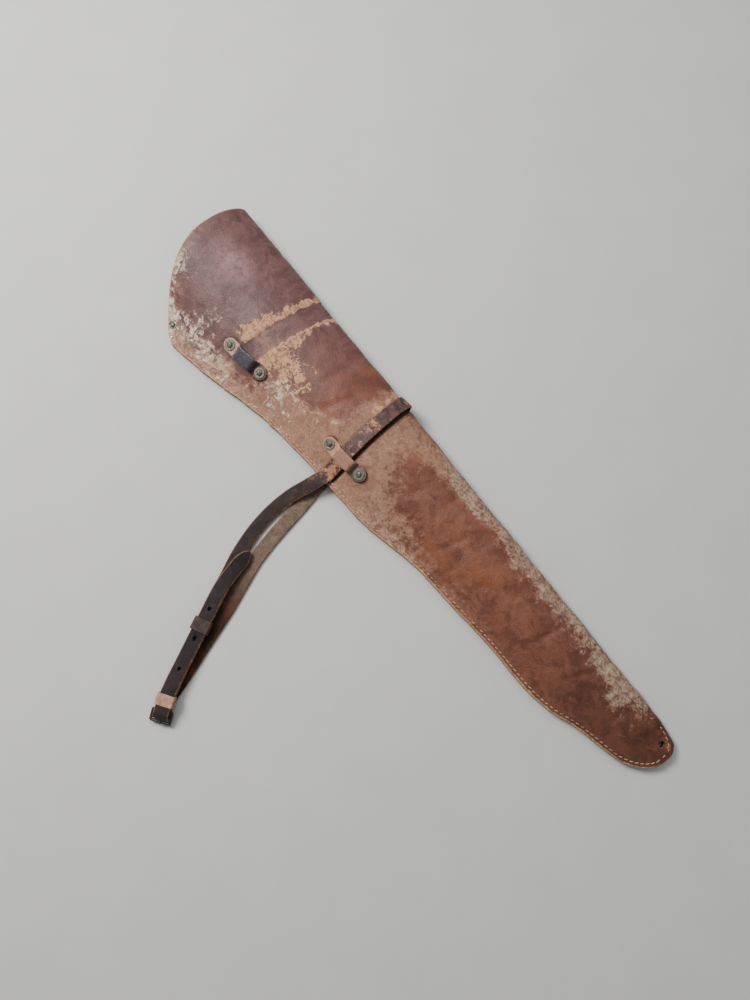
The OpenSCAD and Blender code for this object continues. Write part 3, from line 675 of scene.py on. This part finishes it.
def hide_dent(u, v, z, outside):
    """How far the surface stands in or out of the plain shape, in millimetres."""
    near_strap = clamp((abs(u - LIFT_U) - 11) / 10)
    lump = 1.3 * fractal(u, v, z, 90, 1.0, 3) + 0.55 * fractal(u, v, z, 24, 5.0, 4)
    lump += 0.20 * fractal(u, v, z, 7, 9.0, 3)
    if not outside or z < 4:
        return lump * 0.2 * near_strap
    puckers = 1.1 * fractal(u * 2.2, v * 0.4, 0, 26, 7.0, 3) * smooth((v + 24) / 16) * smooth((u - 330) / 60)
    folds = sum(crease(u, v, *c) for c in CREASES) * 1.1
    return (lump + puckers - folds) * near_strap - 0.9 * rub_band(u, v) - 2.0 * strap_seat(u, v)


# patches of wear and deposit on the front, and a painted highlight near the mouth: (strength, u, v, reach
# along u, reach along v)
SCUFF_SPOTS = [(0.42, 208, -78, 48, 46), (0.2, 110, -40, 26, 20), (0.34, 25, -100, 34, 50),
               (0.26, 250, -70, 60, 34)]
WHITE_SPOTS = [(0.40, 26, -96, 44, 44), (0.66, 82, -140, 90, 34), (0.52, 94, -106, 38, 22),
               (0.42, 150, -134, 70, 22), (0.60, 206, -108, 54, 32), (0.36, 222, -86, 30, 18)]
FILM_SPOTS = [(0.42, 205, -95, 50, 34)]
DUSTY_SPOTS = [(0.46, 690, -30, 46, 16), (0.34, 742, -34, 20, 14)]
# a painted highlight: pale pink reflected light near the mouth
PAINTED_HIGHLIGHT_SPOTS = [(0.55, 61, -53, 46, 28)]

# one of these masks is a painted highlight near the mouth, another is painted shadow along the strap and
# round the keeper ends
HIDE_MASKS = ("scuff", "film", "purple", "painted_highlight", "dusty", "edge", "inside", "white", "toe", "red", "painted_shade")


def spots(u, v, table):
    """Each patch is at its strength in its middle and fades to 0 at its reach."""
    return sum(strength * smooth(1.15 * (1 - math.hypot((u - at_u) / reach_u, (v - at_v) / reach_v)))
               for strength, at_u, at_v, reach_u, reach_v in table)


def rub_sides(u, v):
    """Wear beside the strap mark: crisp against the mark, fading away from it on both sides."""
    across = across_rub(u, v)
    near_seam = smooth((-v - 10) / 80)
    above = clamp(1 + (across + RUB_HALF) / (17 + 16 * near_seam)) if across < -RUB_HALF else 0.0
    below = clamp(1 - (across - RUB_HALF) / (13 + 26 * near_seam)) if across > RUB_HALF else 0.0
    return above * smooth((v + 104) / 10), below * smooth((v + 108) / 12)


def hide_masks(u, v, z, d, outside):
    """The values of HIDE_MASKS at one point of the hide."""
    n1, n2 = fractal(u, v, z, 60, 2.0, 4), fractal(u, v, z, 26, 6.0, 4)
    if outside and z < 3.6 and v < -8:
        # the back leaf: evenly rubbed, darker at the toe
        dark = smooth((u - 620) / 90)
        return 0.42 + 0.3 * n1, 0.45 + 0.3 * n2, 0.0, 0.0, 0.3, edge_wear(u, v, d), 0.0, 0.2, dark, 0.3, 0.0
    above, below = rub_sides(u, v)
    mark = rub_band(u, v)
    tan = smooth((u - 196 - 0.86 * (105 + v) + 22 * n1) / 60)
    centre = smooth((u - 318 + 16 * n1) / 80) * smooth((-v - 12 + 8 * n2) / 24)
    centre *= smooth((d - 28 + 0.22 * (u - 345) + 10 * n2) / 46)
    tan *= (1 - centre) * (1 - smooth((u - 690) / 40) * 0.8)
    film = 0.40 * tan * smooth((470 - u) / 120) + 0.34 * tan
    film += 0.62 * above + 0.50 * below + spots(u, v, FILM_SPOTS)
    film += 0.36 * mark * smooth((-v - 40) / 35)
    film += 0.62 * smooth((34 + 12 * n1 - d) / 24) * smooth((u - 10) / 40) * smooth((270 - u) / 60)
    film += 0.46 * smooth((26 + 12 * n1 - mouth_distance(u, v)) / 24) * smooth((-v - 30) / 60)
    film += 0.55 * strap_side(u, v) * smooth((v + 70) / 30)
    scuff = 0.10 + 0.12 * n1 + 0.34 * tan * smooth((420 - u) / 60)
    scuff += 1.12 * above + 0.86 * below + spots(u, v, SCUFF_SPOTS) - 0.6 * mark
    scuff += 0.44 * strap_side(u, v) * smooth((v + 60) / 30)
    white = 0.36 * smooth((17 - mouth_distance(u, v)) / 14) * smooth((-v - 60 + 30 * n1) / 40)
    white += spots(u, v, WHITE_SPOTS)
    white += 0.22 * smooth((9 - d) / 6) * smooth((u - 110) / 40) * smooth((300 - u) / 40)
    dusty = 0.84 * smooth((v + 32 + 12 * n2) / 26) * smooth((u - 340) / 50)
    dusty *= 1 - 0.6 * smooth((u - 690) / 40)
    dusty += 0.50 * smooth((46 - 0.28 * (u - 350) - d) / 20) * smooth((u - 340) / 30)
    dusty += spots(u, v, DUSTY_SPOTS)
    red = smooth((u - 350) / 60) * smooth((720 - u) / 90) * smooth((-v - 18) / 14)
    red += 0.2 * smooth((v + 40) / 22) * smooth((u - 200) / 30) * smooth((300 - u) / 30)
    violet = 0.92 * smooth((265 - u + 30 * n1 + 0.25 * (v + 60)) / 120)
    # painted highlight: pale pink reflected light near the mouth
    painted_highlight = spots(u, v, PAINTED_HIGHLIGHT_SPOTS)
    toe = smooth((u - 540 + 40 * n1) / 190)
    wear, raw, dirt_and_shade = 0.0, 1.0, 0.0
    if outside:
        # the last value is painted shadow along the strap and round the keeper ends
        wear, raw, dirt_and_shade = edge_wear(u, v, d) + 0.5 * smooth((u - 748 + 9 * n2) / 14), 0.0, painted_shade_at(u, v)
    return tuple(clamp(x) for x in (scuff, film, violet, painted_highlight, dusty, wear, raw, white, toe, red, dirt_and_shade))


def across_strap(u, v):
    """Distance from the middle of the strap where it crosses the front, positive towards the toe."""
    return u - STRAP_MIDDLE + STRAP_LEAN * v


def strap_side(u, v):
    """Wear in a strip on the mouth side of the strap."""
    across = across_strap(u, v)
    return smooth((across + 36) / 22) * smooth((2 - across) / 4)


def painted_shade_at(u, v):
    """Painted shadow along the strap's edges and under it, and round the four ends of the keepers."""
    across = across_strap(u, v)
    dirt_and_shade = smooth((across - 6) / 4) * smooth((14 - across) / 5) + 0.5 * smooth((11.5 - abs(across)) / 3)
    for mid_u, mid_v, heading in (UPPER_KEEPER, LOWER_KEEPER):
        for reach in (-RIVET_GAP / 2, RIVET_GAP / 2):
            gap = math.hypot(u - mid_u - reach * cos(heading), v - mid_v - reach * sin(heading))
            dirt_and_shade += 0.8 * smooth((KEEPER_W / 2 + 2.6 - gap) / 3)
    return dirt_and_shade


def edge_wear(u, v, d):
    return max(smooth((3.4 - d) / 3.2), smooth((3.2 - mouth_distance(u, v)) / 3.2))


def mouth_distance(u, v):
    """Distance in from the mouth's cut edge, roughly."""
    return u - mouth_edge(clamp(-v, 0, MOUTH_WIDTH)) if u < 110 else 99.0


def make_hide():
    rings, facts = [], []
    for k, inset in hide_stations():
        outer, inner = section(k, inset, True), section(k, HIDE_T - inset, False)
        loop = [(p, True) for p in outer] + [(p, False) for p in reversed(inner)]
        ring = []
        for (d, z), outside in loop:
            u, v = plan(k, d / station_len(k))
            ring.append((u, v + ragged_edge(u, v, d), z + base_z(u)))
            facts.append((d, z, outside))
        rings.append(ring)
    verts, faces = skin(rings, folded=True)
    obj = make_object("hide", verts, faces, "hide", "scabbard_body")
    fix_normals(obj)
    normals = [tuple(n.vector) for n in obj.data.vertex_normals]
    moved, columns = [], [[] for _ in HIDE_MASKS]
    for point, normal, (u, v, z), (d, flat_z, outside) in zip(verts, normals, verts, facts):
        shift = clamp(hide_dent(u, v, flat_z, outside) * smooth((d - 3) / 8), -2.6, 1.6) * MM
        place = at(*point) + Vector(normal) * shift
        moved += [place.x, place.y, max(place.z, 0.0)]
        for column, value in zip(columns, hide_masks(u, v, flat_z, d, outside)):
            column.append(value)
    obj.data.vertices.foreach_set("co", moved)
    obj.data.update()
    for name, column in zip(HIDE_MASKS, columns):
        set_attribute(obj, name, column)
    cut(obj, [toe_bore()])
    obj.data.materials.append(hide_material())


def ragged_edge(u, v, d):
    """Unevenness of the cut edge along the seam."""
    return (0.7 * fractal(u, v, 0, 17, 4.0, 3) + 0.35 * fractal(u, v, 0, 4, 2.0, 2)) * smooth((9 - d) / 9)


# ---- the welt
def welt_width(k):
    if k <= N_LONG - 3:
        return band_of(k) - 0.3
    return mix(band_of(k), station_len(k) - HIDE_T - 1.5, clamp((k - N_LONG + 3) / 4))


def make_welt():
    low, high = HIDE_T - 0.05, HIDE_T + WELT_T + 0.05
    rings = []
    for i in range(int((N_LONG + N_TOE) / 0.25) + 1):
        k = i * 0.25
        w, ring = welt_width(k), []
        rough = 0.35 * fractal(seam_u(k), 0, 0, 6, 2.0)
        inset = 0.35 + rough * 0.5
        outline = [(inset + 0.5, low), (w, low), (w, high), (inset + 0.5, high), (inset + 0.1, high - 0.4),
                   (inset - 0.1, (low + high) / 2), (inset + 0.1, low + 0.4)]
        for d, z in outline:
            u, v = plan(k, d / station_len(k))
            ring.append((u, v, z + base_z(u)))
        rings.append(ring)
    obj = make_object("welt", *skin(rings), "welt", "seam_welt")
    fix_normals(obj)
    cut(obj, [toe_bore()])
    obj.data.materials.append(edge_material())


# ---- the stitches
def stitch_v(u):
    return -(smooth_lookup(SEAM_LINE, u) - STITCH_INSET)


def toe_line(a):
    run = (TOE_LEN - STITCH_INSET) * sin(a)
    half = TOE_HALF - STITCH_INSET - TOE_SLOPE * run
    if a <= 90:
        return Vector((TOE_START + run, -TOE_TIP - half * cos(a)))
    return Vector((TOE_START + run, -TOE_TIP + (TOE_TIP - STITCH_INSET) * max(0.0, -cos(a)) ** 0.5))


def stitch_ends():
    """Pairs of points that each stitch lies between, from the mouth to the fold side of the toe."""
    count = int((TOE_START - MOUTH_U - 8) / STITCH_PITCH)
    first = TOE_START - count * STITCH_PITCH
    line = [Vector((first + i * STITCH_PITCH, stitch_v(first + i * STITCH_PITCH))) for i in range(count + 1)]
    a = 0.0
    while a <= 172:
        a += STITCH_PITCH / (toe_line(a + 1) - toe_line(a)).length
        line.append(toe_line(a))
    return list(zip(line, line[1:]))


def stitch_rings(a, b, z, up, index):
    """Rings of one stitch: it rises out of its hole, lies on the leather and dives again."""
    lean = 9 + 5 * fractal(index * 7.0, 0, 0, 5, 1.0)
    run = Matrix.Rotation(math.radians(lean), 2) @ (b - a).normalized()
    side, middle = Vector((-run.y, run.x)), (a + b) / 2
    half = STITCH_LEN / 2 * (1 + 0.06 * fractal(index * 3.0, 0, 0, 2, 4.0))
    rings = []
    for i in range(9):
        s = -1 + i / 4
        lift = 0.30 - 1.05 * abs(s) ** 3.2
        centre = middle + run * half * s
        thick = THREAD_R * (1 - 0.22 * abs(s) ** 3)
        ring = []
        for j in range(8):
            turn = 45 * j + 40 * i
            across, high = thick * cos(turn) * 1.12, thick * sin(turn) * 0.82
            p = centre + side * across
            ring.append((p.x, p.y, z + up * (lift + high)))
        rings.append(ring)
    return rings


def make_thread():
    verts, faces = [], []
    for index, (a, b) in enumerate(stitch_ends()):
        middle = (a + b) / 2
        base = base_z(middle.x)
        places = [(BAND_H + base, 1)]
        if middle.x < TOE_START + 12:
            # in the groove, on both leaves
            places = [(BAND_H + base - 0.35, 1), (base + 0.62, -1)]
        for z, up in places:
            points, sides = skin(stitch_rings(a, b, z, up, index))
            faces += [tuple(n + len(verts) for n in face) for face in sides]
            verts += points
    obj = make_object("seam_stitches", verts, faces, "thread", "seam_thread")
    fix_normals(obj)
    obj.data.materials.append(thread_material())


# ---- ribbons: strap and keepers
def ribbon_profile(hw, ht, crown=0.12):
    """Cross section of a flat strip with worn corners: (across, up, edge share, flesh share)."""
    r = min(0.75, ht * 0.6)
    top, bottom = [], []
    for x in (-1, -0.86, -0.6, -0.3, 0, 0.3, 0.6, 0.86, 1):
        a = x * (hw - r)
        top.append((a, ht + crown * (1 - x * x), abs(x) ** 6 * 0.75, 0.0))
        bottom.append((a, -ht + 0.04 * (1 - x * x), abs(x) ** 6 * 0.6, 1.0))
    right = [(hw - r * 0.29, ht - r * 0.29, 0.95, 0.0), (hw, ht - r, 1.0, 0.3), (hw, 0, 1.0, 0.5),
             (hw, -ht + r, 1.0, 0.7), (hw - r * 0.29, -ht + r * 0.29, 0.95, 1.0)]
    left = [(-a, b, e, f) for a, b, e, f in reversed(right)]
    return top + right + list(reversed(bottom)) + left


def make_ribbon(name, stations, slot_name, node, extra):
    """stations: (centre, across, grain, half width, half thickness); extra: {mask: value per station}."""
    rings, masks = [], {"edge": [], "flesh": [], **{n: [] for n in extra}}
    for i, (centre, across, grain, hw, ht) in enumerate(stations):
        ring = []
        for a, b, edge, flesh in ribbon_profile(hw, ht):
            wave = 1 + 0.012 * fractal(centre.x, centre.y, a, 22, 3.0)
            lump = 0.10 * fractal(centre.x, centre.y, a, 16, 8.0)
            ring.append(centre + across * a * wave + grain * (b + lump))
            masks["edge"].append(edge)
            masks["flesh"].append(flesh)
            for n in extra:
                masks[n].append(extra[n][i])
        rings.append(ring)
    obj = make_object(name, *skin(rings), slot_name, node)
    for n, values in masks.items():
        set_attribute(obj, n, values)
    fix_normals(obj)
    return obj


# ---- the line the strap follows near its buckle; s is the distance beyond the heel bar
BUCKLE_HEADING, BILLET_HEADING = 36, 27
HEEL_U, HEEL_V, HEEL_Z, HEEL_R = 405, -400, 7, 1.5
BEND_FROM, BEND_TO, FALL, LAYER = -5, -35, 0.0168, STRAP_T + 0.3
BEND_R = (BEND_FROM - BEND_TO) * 180 / (math.pi * (BUCKLE_HEADING - BILLET_HEADING))
PUNCH_R, PUNCH_PITCH, PUNCH_FROM, N_PUNCH = 2.0, 34, -12, 4
WRAP_R = HEEL_R + 0.3 + CHAPE_T / 2


def heading_at(s):
    return mix(BUCKLE_HEADING, BILLET_HEADING, clamp((BEND_FROM - s) / (BEND_FROM - BEND_TO)))


def line_at(s):
    a, start = heading_at(s), BUCKLE_HEADING
    u = HEEL_U + max(s, BEND_FROM) * sin(start) + BEND_R * (cos(start) - cos(a))
    v = HEEL_V - max(s, BEND_FROM) * cos(start) + BEND_R * (sin(start) - sin(a))
    beyond = min(0, s - BEND_TO)
    return u + beyond * sin(BILLET_HEADING), v - beyond * cos(BILLET_HEADING)


def strand_z(s):
    if s > BEND_TO:
        return mix(HEEL_Z + WRAP_R, 8, s / BEND_TO)
    return 8 - (BEND_TO - s) * FALL


TURN_S, TURN_LOW = 2, STRAP_T / 2
TURN_TOP = strand_z(0) + CHAPE_T / 2 + 0.3 + STRAP_T / 2
TURN_R = (TURN_TOP - TURN_LOW) / 2
TURN_Z = TURN_LOW + TURN_R


# key points: (u, v, z, heading, half thickness, roll, half width)
def on_line(s, z, ht=STRAP_T / 2):
    return (*line_at(s), z, heading_at(s), ht, 0, STRAP_W / 2)


def free_pt(u, v, z, heading, roll=0, hw=STRAP_W / 2):
    return u, v, z, heading, STRAP_T / 2, roll, hw


def strap_keys():
    """Key points of the strap and the name of the stretch each belongs to."""
    keys = []

    def add(stretch, points):
        keys.extend((p, stretch) for p in points)

    def chape_pt(s, z, thin=0):
        return on_line(s, z, CHAPE_T / 2 - thin)
    add("chape", [chape_pt(-40, strand_z(-40) - 2.55, 0.2)])
    add("chape", [chape_pt(s, strand_z(s) - 2.5) for s in (-33, -26)])
    add("chape", [chape_pt(-18, 5.35), chape_pt(-10, 4.75), chape_pt(-5, HEEL_Z - WRAP_R + 0.1)])
    add("chape", [chape_pt(s, HEEL_Z - WRAP_R) for s in (-2.4, -1)])
    add("chape", [chape_pt(WRAP_R * cos(a), HEEL_Z + WRAP_R * sin(a)) for a in range(-90, 91, 30)])
    add("chape", [chape_pt(s, strand_z(s)) for s in (-1, -2.5, -5)])
    add("strand", [on_line(-10, strand_z(-10), STRAP_T / 2 - 0.25)])
    add("strand", [on_line(s, strand_z(s)) for s in (-20, -35, -60, -95, -130)])
    add("strand", [free_pt(*p) for p in (
        (333, -265.5, 4.9, 25), (321, -242, 3.1, 21), (311, -214, 2.2, 15), (305.5, -186, 2.3, 6),
        (305, -160, 5, -3), (308.5, -140, 10.8, -1), (311, -126, 14.6, 3))])
    k = (LIFT_U - MOUTH_U) / (TOE_START - MOUTH_U) * N_LONG
    off, wide = PLAY + STRAP_T / 2, station_len(k)

    def cross(d, z):
        stand = 1.3 * smooth((d - 8) / 26) * (1 if z > 4 else 0)
        return free_pt(mix(313, 303, clamp(d / wide)), d - wide, z + LIFT_H + stand, 5, -8 * stand)
    add("front", [cross(6, BAND_H + off)])
    add("front", [cross(d, top_at(k, d) + off) for d in (14, 22, 31, 40, 50, 62, 72)])
    add("front", [cross(*fold_pt(k, -off - 0.3, a)) for a in (18, 36, 54, 72, 90)])
    low = [under_pt(k, -off - 0.3, a) for a in (30, 60, 90)]
    low[2] = (low[2][0], low[2][1] + 0.3)
    add("back", [cross(*p) for p in low])
    add("back", [cross(d, -off) for d in (wide - 30, wide * 0.5, 20, 2)])
    add("return", [free_pt(u, v, TURN_LOW, heading) for u, v, heading in (
        (315.5, -137, 12), (321.5, -165, 11), (328, -198, 13), (336.5, -230, 18), (348.5, -259, 24),
        (361, -288, 22), (372, -318, 20), (382.5, -346, 22), (391.5, -370, 27), (396.5, -384, 32))])
    add("return", [on_line(s, TURN_LOW) for s in (-7, -2, 0.3)])
    add("billet", [on_line(TURN_S + TURN_R * cos(a), TURN_Z + TURN_R * sin(a))
                   for a in (-90, -67.5, -45, -22.5, 0, 22.5, 45, 67.5, 90)])
    add("billet", [on_line(s, TURN_TOP + 0.004 * s) for s in (0.3, -2, -6, -12)])
    add("billet", [on_line(s, strand_z(s) + LAYER) for s in (-20, -35, -60, -95, -130)])
    add("billet", [free_pt(*p) for p in (
        (337.5, -272, 9.1, 22, 4), (333, -257, 8.4, 18, 8), (330, -245, 7.8, 15, 11),
        (328, -236, 7.4, 14, 12, 5.6), (327, -231, 7.2, 14, 12, 1.6))])
    return keys


def spline(a, b, c, d, k):
    return [0.5 * (2 * q + (r - p) * k + (2 * p - 5 * q + 4 * r - s) * k * k + (3 * q - p - 3 * r + s) * k**3)
            for p, q, r, s in zip(a, b, c, d)]


def strap_stations(per_key=7):
    keys = strap_keys()
    last = len(keys) - 1

    def point(x):
        j = min(int(x), last - 1)
        near = [keys[clamp(j + i, 0, last)][0] for i in (-1, 0, 1, 2)]
        return spline(*near, x - j)
    stations, masks = [], {"front": [], "billet": [], "pale_flesh": []}
    for i in range(last * per_key + 1):
        x = i / per_key
        p, a, b = point(x), point(max(0, x - 0.03)), point(min(last, x + 0.03))
        run = (Vector(b[:3]) - Vector(a[:3])).normalized()
        flat = Vector((cos(p[3]) * cos(p[5]), sin(p[3]) * cos(p[5]), -sin(p[5])))
        grain = flat.cross(run).normalized()
        stations.append((Vector(p[:3]), flat, grain, p[6], p[4]))
        name = keys[min(last, round(x))][1]
        masks["front"].append(1.0 if name == "front" else 0.25 if name == "strand" and p[1] > -150 else 0.0)
        masks["billet"].append(1.0 if name == "billet" else 0.0)
        masks["pale_flesh"].append(smooth((p[1] + 285) / 50) if name in ("return", "back") else 0.0)
    return stations, masks


def soften(values, reach):
    """Running mean, so that a mask fades over a few stations."""
    out = []
    for i in range(len(values)):
        part = values[max(0, i - reach):i + reach + 1]
        out.append(sum(part) / len(part))
    return out


def make_strap():
    stations, masks = strap_stations()
    masks = {n: soften(v, 6) for n, v in masks.items()}
    obj = make_ribbon("strap_leather", stations, "strap_leather", "strap", masks)
    tools = []
    for i in range(N_PUNCH):
        s = PUNCH_FROM - i * PUNCH_PITCH
        centre = at(*line_at(s), strand_z(s) + LAYER + 0.25)
        tools.append(cylinder_tool(centre, (0, 0, 1), PUNCH_R * MM, (STRAP_T + 0.8) * MM))
    out = Vector((sin(BUCKLE_HEADING), -cos(BUCKLE_HEADING), 0))
    heel = at(HEEL_U, HEEL_V, HEEL_Z)
    tongue_way = heel + out * 8.8 * MM + Vector((0, 0, 0.4 * MM))
    tools.append(cylinder_tool(tongue_way, out, (PUNCH_R + 0.4) * MM, 8 * MM))
    tools.append(slot_tool(heel, out))
    cut(obj, tools)
    obj.data.materials.append(strap_material())


def slot_tool(heel, out):
    """Closed prism for the slot that lets the tongue through the chape."""
    side, up, half = Vector((-out.y, out.x, 0)), Vector((0, 0, 1)), 2.1
    outline = [(-5.5, -4), (2, -4), (4.4, -2.2), (4.4, 2.6), (2.6, 4.3), (-5.5, 4.3)]
    rings = [[heel + (out * x + up * z + side * w) * MM for x, z in outline] for w in (-half, half)]
    tool = loose("tool", *skin(rings))
    fix_normals(tool)
    return tool


# ---- keepers
def keeper_frame(place):
    """Origin, and the directions along, across and out of the leaf under a keeper."""
    u, v, yaw = place
    pitch = (top_z(u + 20, v) - top_z(u - 20, v)) / 40
    roll = (top_z(u, v + 6) - top_z(u, v - 6)) / 12
    turn = Matrix.Rotation(math.atan(roll), 3, "X") @ Matrix.Rotation(-math.atan(pitch), 3, "Y")
    turn = turn @ Matrix.Rotation(math.radians(yaw), 3, "Z")
    return Vector((u, v, top_z(u, v))), *turn.col


def arch(x):
    """0 at a keeper's riveted ends, rising to 1 over the strap's slot."""
    return (1 - cos(180 * clamp((RIVET_GAP / 2 - BURR_R - abs(x)) / 6.5))) / 2


def make_keeper(name, place, node, slot_name, tones):
    origin, along, across, up = keeper_frame(place)
    half, r = RIVET_GAP / 2 + KEEPER_W / 2, KEEPER_W / 2
    stations, place_along = [], []
    count = 96
    for i in range(count + 1):
        x = -half * cos(180 * i / count)
        past = abs(x) - RIVET_GAP / 2
        hw = r if past <= 0 else math.sqrt(max(0.4, r * r - past * past))
        waist = 0.6 * arch(x)
        z = KEEPER_FOOT + KEEPER_T / 2 + SLOT_H * arch(x)
        slope = (arch(x + 0.2) - arch(x - 0.2)) * SLOT_H / 0.4
        grain = (up - along * slope).normalized()
        stations.append((origin + along * x + up * z, -across, grain, hw - waist, KEEPER_T / 2))
        place_along.append(x / half)
    obj = make_ribbon(name, stations, slot_name, node, {"along": place_along})
    obj.data.materials.append(keeper_material(name + "_leather", tones))


# ---- carried-over CAD nodes
def dress(node, material, bevel=0.0):
    """Gives a CAD node its material and, if asked, softened edges."""
    obj = NODES[node]
    obj.data.materials.clear()
    obj.data.materials.append(material)
    if bevel:
        mod = obj.modifiers.new("soft_edges", "BEVEL")
        mod.width = bevel * MM
        mod.segments = 3
        mod.limit_method = "ANGLE"
        mod.angle_limit = math.radians(38)
        mod.harden_normals = True


def dress_hardware():
    brass = brass_material("dull_brass", (138, 132, 116), (80, 80, 72))
    dome = brass_material("rivet_brass", (116, 112, 98), (52, 54, 49))
    bright = brass_material("tack_brass", (206, 164, 92), (128, 98, 56))
    steel = steel_material()
    for node in NODES:
        if "burr" in node:
            dress(node, brass, 0.12)
        elif "rivet" in node:
            dress(node, dome)
    dress("corner_tack", bright)
    dress("buckle_frame", steel)
    dress("buckle_tongue", steel, 0.35)
    dress("chape_thread", thread_material())
    fixed = loop_material("fixed_loop_leather", (168, 132, 112), (134, 98, 80))
    sliding = loop_material("sliding_loop_leather", (66, 44, 36), (34, 22, 19))
    dress("fixed_keeper", fixed, 0.45)
    dress("sliding_keeper", sliding, 0.5)


# ---- floor, light and camera
def make_floor():
    r, z = 6.0, -0.0002
    floor = loose("floor", [(-r, -r, z), (r, -r, z), (r, r, z), (-r, r, z)], [(0, 1, 2, 3)])
    m = Shade("floor_grey", 0.9, specular=0.2)
    m.colour(m.blend((178, 177, 173), (186, 185, 181), m.noise(60, 3)))
    floor.data.materials.append(m.mat)


# the camera's place over the case, its turn about the vertical and its tilt from straight down
CAM_TURN, CAM_TILT = 52.02, 10.0
CAM_U, CAM_V, CAM_Z = 477.1, -177.5, 810.9
SENSOR, FOCAL_SHARE = 36, 0.751


def make_camera():
    right = Vector((cos(CAM_TURN), sin(CAM_TURN), 0))
    level = Vector((-sin(CAM_TURN), cos(CAM_TURN), 0))
    look = Vector((0, 0, -1)) * cos(CAM_TILT) + level * sin(CAM_TILT)
    up = level * cos(CAM_TILT) + Vector((0, 0, 1)) * sin(CAM_TILT)
    data = bpy.data.cameras.new("camera")
    data.sensor_width = SENSOR
    data.lens = SENSOR * FOCAL_SHARE
    data.clip_start, data.clip_end = 0.01, 50
    cam = link("camera", data)
    turn = Matrix((right, up, -look)).transposed().to_4x4()
    cam.matrix_world = Matrix.Translation(at(CAM_U, CAM_V, CAM_Z)) @ turn
    bpy.context.scene.camera = cam
    return right, level


def add_light(name, where, target, size, power, colour):
    data = bpy.data.lights.new(name, "AREA")
    data.shape = "DISK"
    data.size = size
    data.energy = power
    data.color = colour
    lamp = link(name, data)
    lamp.location = where
    lamp.rotation_euler = (target - where).to_track_quat("-Z", "Y").to_euler()


def make_light(right, level):
    world = bpy.data.worlds.new("world")
    world.use_nodes = True
    sky = world.node_tree.nodes["Background"].inputs
    sky["Color"].default_value = (0.93, 0.96, 1.0, 1)
    sky["Strength"].default_value = 0.42
    bpy.context.scene.world = world
    middle = at(BODY_LEN / 2, -120, 0)
    key = middle - right * 0.95 + level * 0.75 + Vector((0, 0, 1.3))
    add_light("key", key, middle, 0.7, 46, (1.0, 0.99, 0.97))
    top = middle + level * 0.9 + Vector((0, 0, 1.6))
    add_light("top", top, middle, 1.4, 12, (0.95, 0.98, 1.0))


# ---- build
make_floor()
make_light(*make_camera())
make_hide()
make_welt()
make_thread()
make_strap()
make_keeper("keeper_upper", UPPER_KEEPER, "upper_keeper", "keeper_dark",
            ((162, 128, 112), (58, 53, 62), (38, 28, 27), (98, 74, 62)))
make_keeper("keeper_lower", LOWER_KEEPER, "lower_keeper", "keeper_tan",
            ((160, 116, 94), (140, 100, 84), (76, 58, 48), (108, 84, 70)))
dress_hardware()

bpy.context.view_layer.update()
